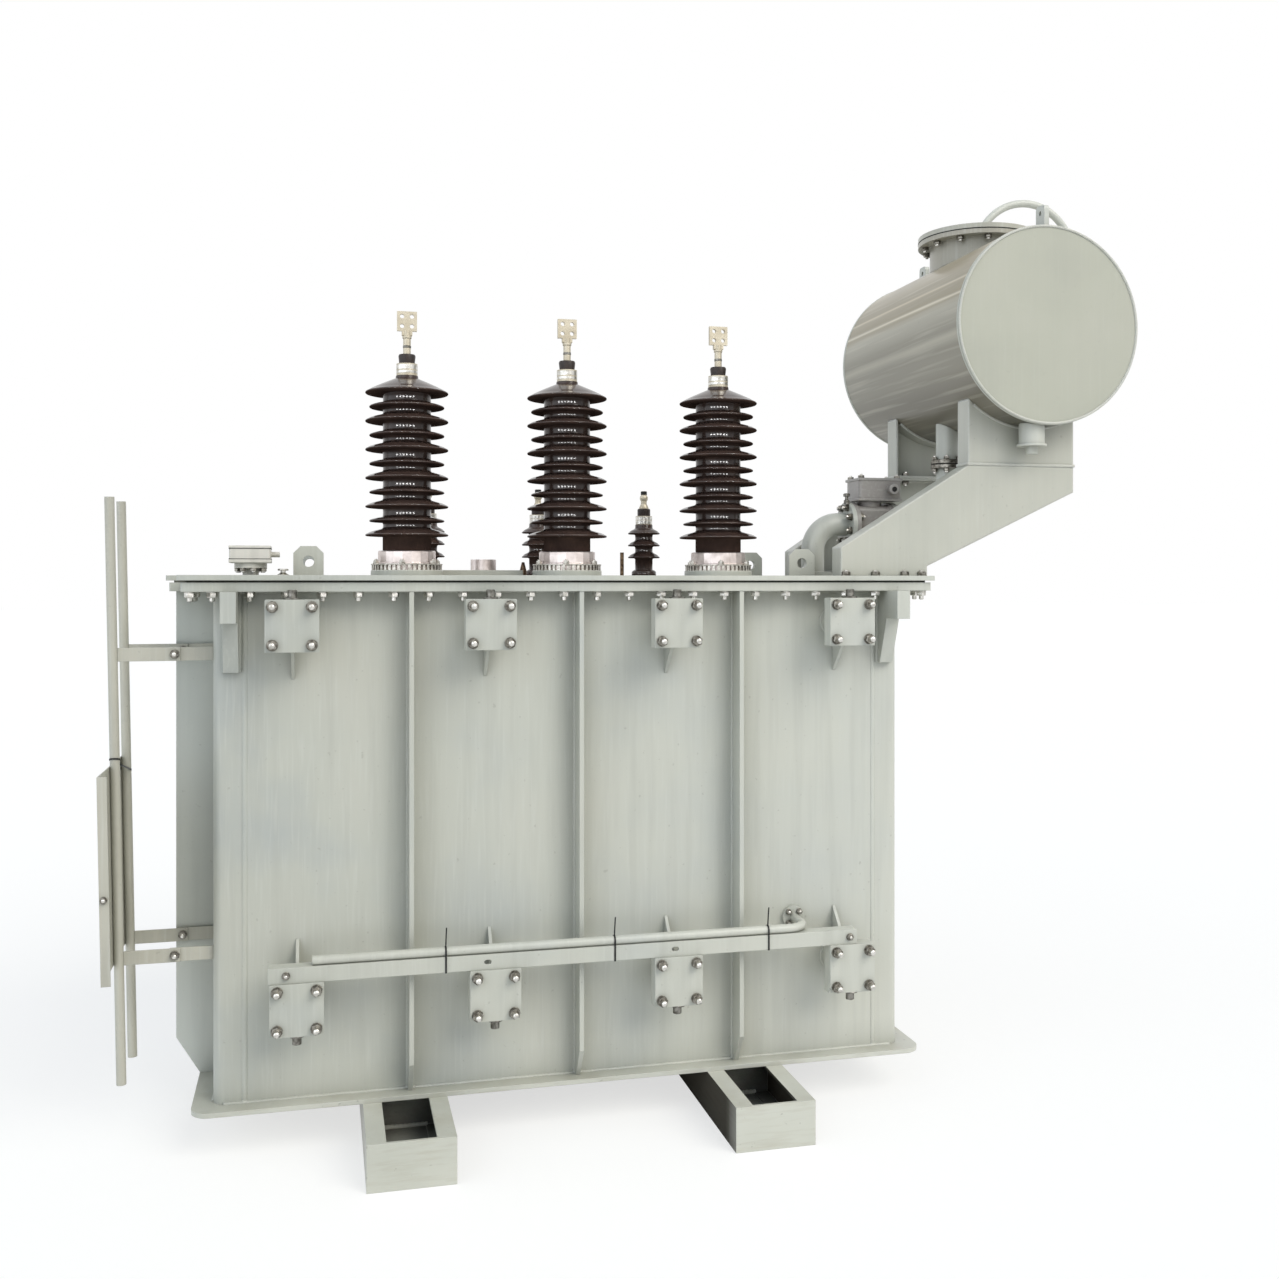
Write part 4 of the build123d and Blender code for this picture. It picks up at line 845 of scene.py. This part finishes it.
def makeWelds():
    sets, skidSets = [], []
    frontLow, frontHigh = corner("front_wall")
    backLow, backHigh = corner("back_wall")
    front, back = frontLow[1], backHigh[1]
    for x in (frontLow[0], frontHigh[0]):  # upright seams, front and back
        sets.append(weldSet((x, front, frontLow[2]), (x, front, frontHigh[2]), (0, -1, 0), "seam"))
        sets.append(weldSet((x, back, backLow[2]), (x, back, backHigh[2]), (0, 1, 0), "seam"))
    uprights = [("front_ribs", front, -1, "rib"), ("back_ribs", back, 1, "rib"),
                ("lifting_hooks", front, -1, "hook"), ("lifting_hooks", back, 1, "hook")]
    for name, face, way, kind in uprights:  # both sides of each rib and hook
        low, high = corner(name)
        for edges in spans(name, 0, 0.05):
            for x, side in zip(edges, (-1, 1)):
                sets.append(weldSet((x, face, low[2]), (x, face, high[2]), (side, way, 0), kind))
    leftLow, leftHigh = corner("left_end_wall")
    rightLow, rightHigh = corner("right_end_wall")
    pocketLow, pocketHigh = corner("end_pocket")
    inset = weld["inset"] * mm
    left, right, z, top = leftLow[0], rightHigh[0], leftLow[2], leftHigh[2]
    for y, way in ((leftLow[1], -1), (leftHigh[1], 1)):  # foot of the walls, and under the rim
        sets.append(weldSet((left + inset, y, z), (right - inset, y, z), (0, way, 1), "foot"))
        sets.append(weldSet((left + inset, y, top), (right - inset, y, top), (0, way, -1), "rim"))
    sets.append(weldSet((right, rightLow[1] + inset, z), (right, rightHigh[1] - inset, z), (1, 0, 1), "foot"))
    for y0, y1 in ((leftLow[1] + inset, pocketLow[1]), (pocketHigh[1], leftHigh[1] - inset)):
        sets.append(weldSet((left, y0, z), (left, y1, z), (-1, 0, 1), "foot"))
    for y, side in ((pocketLow[1], -1), (pocketHigh[1], 1)):
        sets.append(weldSet((left, y, z), (left, y, top), (-1, side, 0), "pocket"))
    deep, wall = weld["diaphragm"] * mm, weld["skidWall"] * mm
    for name in ("skid_left", "skid_right"):  # foot of the first diaphragm in each open skid end
        low, high = corner(name)
        for y, way in ((front + deep, -1), (back - deep, 1)):
            run = [(x, y, weld["diaphragmFoot"] * mm) for x in (low[0] + wall, high[0] - wall)]
            skidSets.append(weldSet(*run, (0, way, 1), "skid"))
    makePiece("skidWelds", skidSets, skidPaint, 60)
    makePiece("weldBeads", sets, paint, 60)
    print("weld runs:", len(sets))


makeWelds()

# Ring welds: a torus of the same bead round each radiator neck, and round the conservator's ends
ringWeld = {"section": 8, "endBead": 3, "endSides": 96, "neck": 45, "neckBead": 5, "neckSides": 32}


# point = centre + (radius + b cos t) * round + b sin t * axis
def ringSet(centres, radius, thick, axis, sides):
    t = np.linspace(0, 2 * np.pi, ringWeld["section"], endpoint=False)
    profile = np.stack([radius + thick * np.cos(t), thick * np.sin(t)], 1)
    points = turnedPoints(profile, sides, centres, axis)
    return points, gridFaces(len(points), ringWeld["section"], sides, True)


def conservatorEnd():  # middle and radius of the near end
    low, high = corner("conservator_near_end")
    return (low + high) / 2, (high[0] - low[0]) / 2


def makeRingWelds(size):
    middle, radius = conservatorEnd()
    seams = [corner("conservator_near_end")[1][1], corner("conservator_far_end")[0][1]]
    sets = [ringSet([[middle[0], y, middle[2]]], radius - 0.5 * mm, size["endBead"] * mm, (0, 1, 0),
                    size["endSides"]) for y in seams]
    for face, way in ((corner("front_wall")[0][1], -1), (corner("back_wall")[1][1], 1)):
        for row in (0, 1):
            x = plateMiddles(row)
            necks = np.stack([x, 0 * x + face, 0 * x + plateRows[row].mean()], 1)
            sets.append(ringSet(necks, size["neck"] * mm, size["neckBead"] * mm, (0, way, 0),
                                size["neckSides"]))
    makePiece("ringWelds", sets, paint, 60)


makeRingWelds(ringWeld)

# Rolled rims at the conservator's ends, dark joint of the manhole lid, plates where saddle meets arm
conservatorKit = {"rimBead": 4.5, "rimSides": 128, "joint": 3.5, "jointProud": 0.8, "jointDepth": 20,
                  "jointSides": 96, "plate": 9, "plateProud": 4, "pad": 7, "padReach": 14, "padSteps": 25}


def makeConservatorKit(size):
    middle, radius = conservatorEnd()
    thick, proud = size["rimBead"] * mm, size["plateProud"] * mm
    faces = [corner("conservator_near_end")[0][1], corner("conservator_far_end")[1][1]]
    sets = [ringSet([[middle[0], y, middle[2]]], radius - thick * 0.7, thick, (0, 1, 0), size["rimSides"])
            for y in faces]
    for name in ("saddle_near", "saddle_far"):
        low, high = corner(name)
        sets.append(blockSet([low[0] - proud, low[1] - proud, low[2] - 1 * mm],
                             [high[0] + proud, high[1] + proud, low[2] + size["plate"] * mm]))
        # pad: a rectangle of pad thickness by saddle depth, carried round the shell's underside
        reach = math.asin(((high[0] - low[0]) / 2 + size["padReach"] * mm) / radius)
        turn = np.linspace(-reach, reach, size["padSteps"])[:, None]
        r = radius + np.array([1.0, 1, 0, 0]) * size["pad"] * mm
        y = np.array([low[1], high[1], high[1], low[1]]) + np.array([-1, 1, 1, -1]) * proud
        pad = np.stack([middle[0] + r * np.sin(turn), y + 0 * turn, middle[2] - r * np.cos(turn)], -1)
        sets.append((pad, gridFaces(1, size["padSteps"], 4)))
    makePiece("conservatorRims", sets, foldedPaint, 40)
    low, high = corner("manhole_lid")
    r, h = (high[0] - low[0]) / 2 / mm + size["jointProud"], size["joint"] / 2
    ring = [(r - size["jointDepth"], -h), (r, -h), (r, h), (r - size["jointDepth"], h)]
    makePiece("manholeJoint", [turned(ring, size["jointSides"], [footOf("manhole_lid")])], rubber)


makeConservatorKit(conservatorKit)

# Cable ties: a thin strap carried round a loop that hugs pipe and rail, with a loose tail
cableTie = {"strap": 5, "thick": 1.4, "gap": 1.2, "pipe": 13.5, "places": (0.2798, 0.5626, 0.8357),
            "tail": 58, "postTie": 1170, "postTieDrop": 62, "post": 14}


# a flat section swept along a path: corner offsets +-thick/2 outwards and +-width/2 sideways
def strapSet(path, outward, sideways, width, thick):
    path = np.asarray(path, float)
    sideways = np.array(sideways, float)
    offsets = np.array([(-1, -1), (1, -1), (1, 1), (-1, 1)]) * [thick / 2 * mm, width / 2 * mm]
    if np.cross(path[1] - path[0], outward[0]) @ sideways < 0:  # keeps the faces outwards
        offsets = offsets[::-1]
    points = path[:, None] + offsets[None, :, :1] * outward[:, None] + offsets[None, :, 1:] * sideways
    return points, gridFaces(1, len(path), 4)


def makeCableTies(size):
    low, high = corner("pipe_rail")
    gap, strap, thick, tail = size["gap"] * mm, size["strap"], size["thick"], size["tail"] * mm
    pipeY, pipeZ = low[1] + size["pipe"] * mm, high[2] + size["pipe"] * mm
    r = size["pipe"] * mm + gap
    front, under = low[1] - gap, low[2] - gap
    sets = []
    for share in size["places"]:
        x = low[0] + share * (high[0] - low[0])
        t = np.linspace(-0.15 * np.pi, 1.0 * np.pi, 14)  # over the pipe, from its back to its front
        arc = np.stack([0 * t + x, pipeY + r * np.cos(t), pipeZ + r * np.sin(t)], 1)
        out = np.stack([0 * t, np.cos(t), np.sin(t)], 1)
        fall = np.array([[x, front, high[2] - 5 * mm], [x, front, low[2] + 2 * mm], [x, front, under],
                         [x, low[1] + 7 * mm, under]])  # down the rail's front and under it
        fallOut = np.array([[0, -1, 0], [0, -1, 0], [0, -0.7, -0.7], [0, 0, -1.0]])
        sets.append(strapSet(np.r_[arc, fall], np.r_[out, fallOut], (1, 0, 0), strap, thick))
        s = np.linspace(0, 1, 8)
        end = np.stack([x + 2 * mm * s, pipeY - r * 0.3 - 4 * mm * s ** 2, pipeZ + r * 0.95 + tail * s], 1)
        sets.append(strapSet(end, np.tile([[0, -1.0, 0]], (8, 1)), (1, 0, 0), strap * 0.8, thick))
    low, high = corner("frame_posts")
    r, z = size["post"] * mm + gap, size["postTie"] * mm
    share = (high[2] - z) / (high[2] - low[2])  # the posts lean, so their place shifts with height
    postX = low[0] + r + share * (high[0] - low[0] - 2 * r)
    near, far = spans("frame_posts", 1, 0.05).mean(1)
    t = np.linspace(-np.pi / 2, np.pi / 2, 12)
    half = np.stack([r * np.cos(t), r * np.sin(t)], 1)
    loop = np.r_[np.stack([-half[:, 1], near - half[:, 0]], 1)[::-1],
                 np.stack([half[::-1, 1], far + half[:, 0]], 1)[::-1]]
    loop = np.r_[loop, loop[:1]]
    slope = (loop[:, 1] - near) / (far - near)
    path = np.stack([loop[:, 0] + postX, loop[:, 1], z - size["postTieDrop"] * mm * slope], 1)
    out = np.stack([loop[:, 0], loop[:, 1] - np.clip(loop[:, 1], near, far), 0 * slope], 1)
    sets.append(strapSet(path, unit(out), up, strap, thick))
    makePiece("cableTies", sets, blackNylon)


makeCableTies(cableTie)

# Bolts on the flanges and feet: manhole lid, rail ends, frame bars, wall flange, board and saddles
flangeBolt = {"nut": 22, "nutThick": 10, "washer": 28, "washerThick": 2.5, "stud": 13, "standOut": 7,
              "count": 12, "inset": 22, "railLeft": 50, "railRight": 25, "wallPlace": (-37, -12),
              "wallCircle": 26, "boardDrop": 50, "saddleShares": (0.14, 0.5, 0.86), "saddlePlate": 9}


def makeFlangeBolts(size):
    low, high = corner("manhole_lid")
    foot = (low + high) / 2
    foot[2] = corner("manhole_neck")[1][2] - (high[2] - low[2])  # the neck's flange is as thick as the lid
    lidRing = circle(size["count"], (high[0] - low[0]) / 2 / mm - size["inset"], 0.5)
    groups = [(foot + lidRing, down, size)]
    low, high = corner("pipe_rail")
    middle = (low[2] + high[2]) / 2
    ends = (low[0] + size["railLeft"] * mm, high[0] - size["railRight"] * mm)
    groups.append(([[x, low[1], middle] for x in ends], (0, -1, 0), smallBolt))
    lap = (corner("frame_wall_bars")[0][0] + corner("frame_arms")[1][0]) / 2
    for y in spans("frame_arms", 1, 0.05)[:, 0]:
        for z in spans("frame_arms", 2, 0.1).mean(1):
            groups.append(([[lap, y, z]], (0, -1, 0), size))
    low, high = corner("stowed_pipe")
    x, y = size["wallPlace"]
    wallFlange = np.array([high[0] + x * mm, high[1] + y * mm, (low[2] + high[2]) / 2])
    groups.append((wallFlange + circle(4, size["wallCircle"], 0.5)[:, [0, 2, 1]], (0, -1, 0), clampBolt))
    low, high = corner("frame_board")
    boardPlace = [(low[0] + high[0]) / 2, low[1], (low[2] + high[2]) / 2 - size["boardDrop"] * mm]
    groups.append(([boardPlace], (0, -1, 0), {**clampBolt, "standOut": 2}))
    for name in ("saddle_near", "saddle_far"):  # through the joint between saddle and arm
        low, high = corner(name)
        x = low[0] + np.array(size["saddleShares"]) * (high[0] - low[0])
        middle = np.stack([x, 0 * x + (low[1] + high[1]) / 2, 0 * x + low[2]], 1)
        groups += [(middle + [0, 0, way * size["saddlePlate"] * mm], (0, 0, way), size) for way in (1, -1)]
    makeBolts("flangeBolts", *groups)


makeFlangeBolts(flangeBolt)
print("fasteners made")

# Camera at the photograph's place: level, turned towards the conservator, horizon at the rim
photoCamera = {"height": 1.690, "standoff": 4.015, "aside": -0.7836, "turn": 13.8, "focalPixels": 1300.0,
               "imagePixels": 1279.0, "horizonPixel": 581.5, "sensor": 36.0,
               "farthest": 200}


def placeCamera(c):
    data = bpy.data.cameras.new("photoCamera")
    data.sensor_width = c["sensor"]
    data.lens = c["focalPixels"] / c["imagePixels"] * c["sensor"]
    data.shift_y = (c["horizonPixel"] - c["imagePixels"] / 2) / c["imagePixels"]
    data.clip_end = c["farthest"]
    cam = bpy.data.objects.new("photoCamera", data)
    low, high = corner("front_wall")
    cam.location = ((low[0] + high[0]) / 2 + c["aside"], low[1] - c["standoff"], c["height"])
    cam.rotation_euler = (math.radians(90), 0, -math.radians(c["turn"]))
    bpy.context.scene.collection.objects.link(cam)
    bpy.context.scene.camera = cam


placeCamera(photoCamera)

# Studio: pale floor and white surround for the camera, soft lamps from the right front and the left front
studio = {"floorSize": 160.0, "floorDrop": 0.5, "floorColour": "#e6e6e3", "floorRough": 0.9,
          "floorShare": 0.5, "floorGlow": 1.3, "worldLight": 0.46, "worldTint": "#e6f1ff",
          "keyPower": 1.76, "keySpread": 42, "keyFrom": (0.44, -0.63, 0.64), "keyColour": "#fffbf2",
          "fillPower": 1.2, "fillSpread": 80,
          "fillFrom": (-0.84, -0.44, 0.32), "fillColour": "#ecf5ff", "glintPower": 0.03, "glazePower": 0.5,
          "glintSpread": 6, "glintTurns": (-52, -36, -20, -4, 12, 28), "glintRise": 9}


def addLamp(name, power, spread, towards, colour):  # a broad lamp far away, its spread in degrees
    lamp = bpy.data.lights.new(name, "SUN")
    lamp.energy = power
    lamp.color = hexToLinear(colour)[:3]
    lamp.angle = math.radians(spread)
    obj = bpy.data.objects.new(name, lamp)
    obj.location = Vector(towards) * 12
    obj.rotation_euler = (-Vector(towards)).to_track_quat("-Z", "Y").to_euler()
    bpy.context.scene.collection.objects.link(obj)
    return obj


def seenRays(tree):  # 1 where the camera, a reflection or glass looks, 0 for light on the object
    path = addNode(tree, "LightPath")
    seen = addNode(tree, "Math", {"operation": "MAXIMUM"},
                   {0: path.outputs["Is Camera Ray"], 1: path.outputs["Is Glossy Ray"]})
    return addNode(tree, "Math", {"operation": "MAXIMUM"}, {0: seen, 1: path.outputs["Is Transmission Ray"]})


def makeFloor(s):
    half = s["floorSize"] / 2
    mesh = bpy.data.meshes.new("paleFloor")
    corners = [(-half, -half, 0), (half, -half, 0), (half, half, 0), (-half, half, 0)]
    mesh.from_pydata(corners, [], [(0, 1, 2, 3)])
    floor = bpy.data.objects.new("paleFloor", mesh)
    floor.location.z = -s["floorDrop"] * mm
    bpy.context.scene.collection.objects.link(floor)
    material = bpy.data.materials.new("paleFloorPaint")
    material.use_nodes = True
    tree = material.node_tree
    shader = tree.nodes["Principled BSDF"]
    shader.inputs["Base Color"].default_value = hexToLinear(s["floorColour"])
    shader.inputs["Roughness"].default_value = s["floorRough"]
    share = addNode(tree, "Math", {"operation": "MULTIPLY", 1: s["floorShare"]}, {0: seenRays(tree)})
    glow = addNode(tree, "Emission", {"Color": hexToLinear("#ffffff"), "Strength": s["floorGlow"]})
    mix = addNode(tree, "MixShader", links={0: share, 1: shader, 2: glow})
    feed(tree, tree.nodes["Material Output"], {"Surface": mix})
    mesh.materials.append(material)


def makeSurround(s):
    world = bpy.data.worlds.new("whiteSurround")
    bpy.context.scene.world = world
    world.use_nodes = True
    tree = world.node_tree
    seen = seenRays(tree)
    strength = addNode(tree, "MapRange", {"To Min": s["worldLight"], "To Max": 1.0}, {"Value": seen})
    tint = addNode(tree, "Mix", {"data_type": "RGBA", 6: hexToLinear(s["worldTint"]),
                                 7: hexToLinear("#ffffff")}, {0: seen})
    feed(tree, tree.nodes["Background"], {"Color": tint.outputs[2], "Strength": strength})


def makeLamps(s):
    addLamp("rightKey", s["keyPower"], s["keySpread"], s["keyFrom"], s["keyColour"])
    addLamp("leftFill", s["fillPower"], s["fillSpread"], s["fillFrom"], s["fillColour"])
    glazed = bpy.data.collections.new("glazedPieces")
    for obj in bpy.context.scene.objects:
        if obj.type == "MESH" and glaze.name in obj.data.materials:
            glazed.objects.link(obj)
    rise = math.radians(s["glintRise"])
    for turn in np.radians(s["glintTurns"]):  # a row of small weak lamps for glints on glaze and zinc
        towards = (math.cos(rise) * math.sin(turn), -math.cos(rise) * math.cos(turn), math.sin(rise))
        addLamp("glintLamp", s["glintPower"], s["glintSpread"], towards, "#ffffff").visible_diffuse = False
        lamp = addLamp("glazeLamp", s["glazePower"], s["glintSpread"], towards, "#ffffff")
        lamp.visible_diffuse = False
        lamp.light_linking.receiver_collection = glazed


makeFloor(studio)
makeSurround(studio)
makeLamps(studio)
bpy.context.scene.view_settings.view_transform = "Standard"
print("studio set")
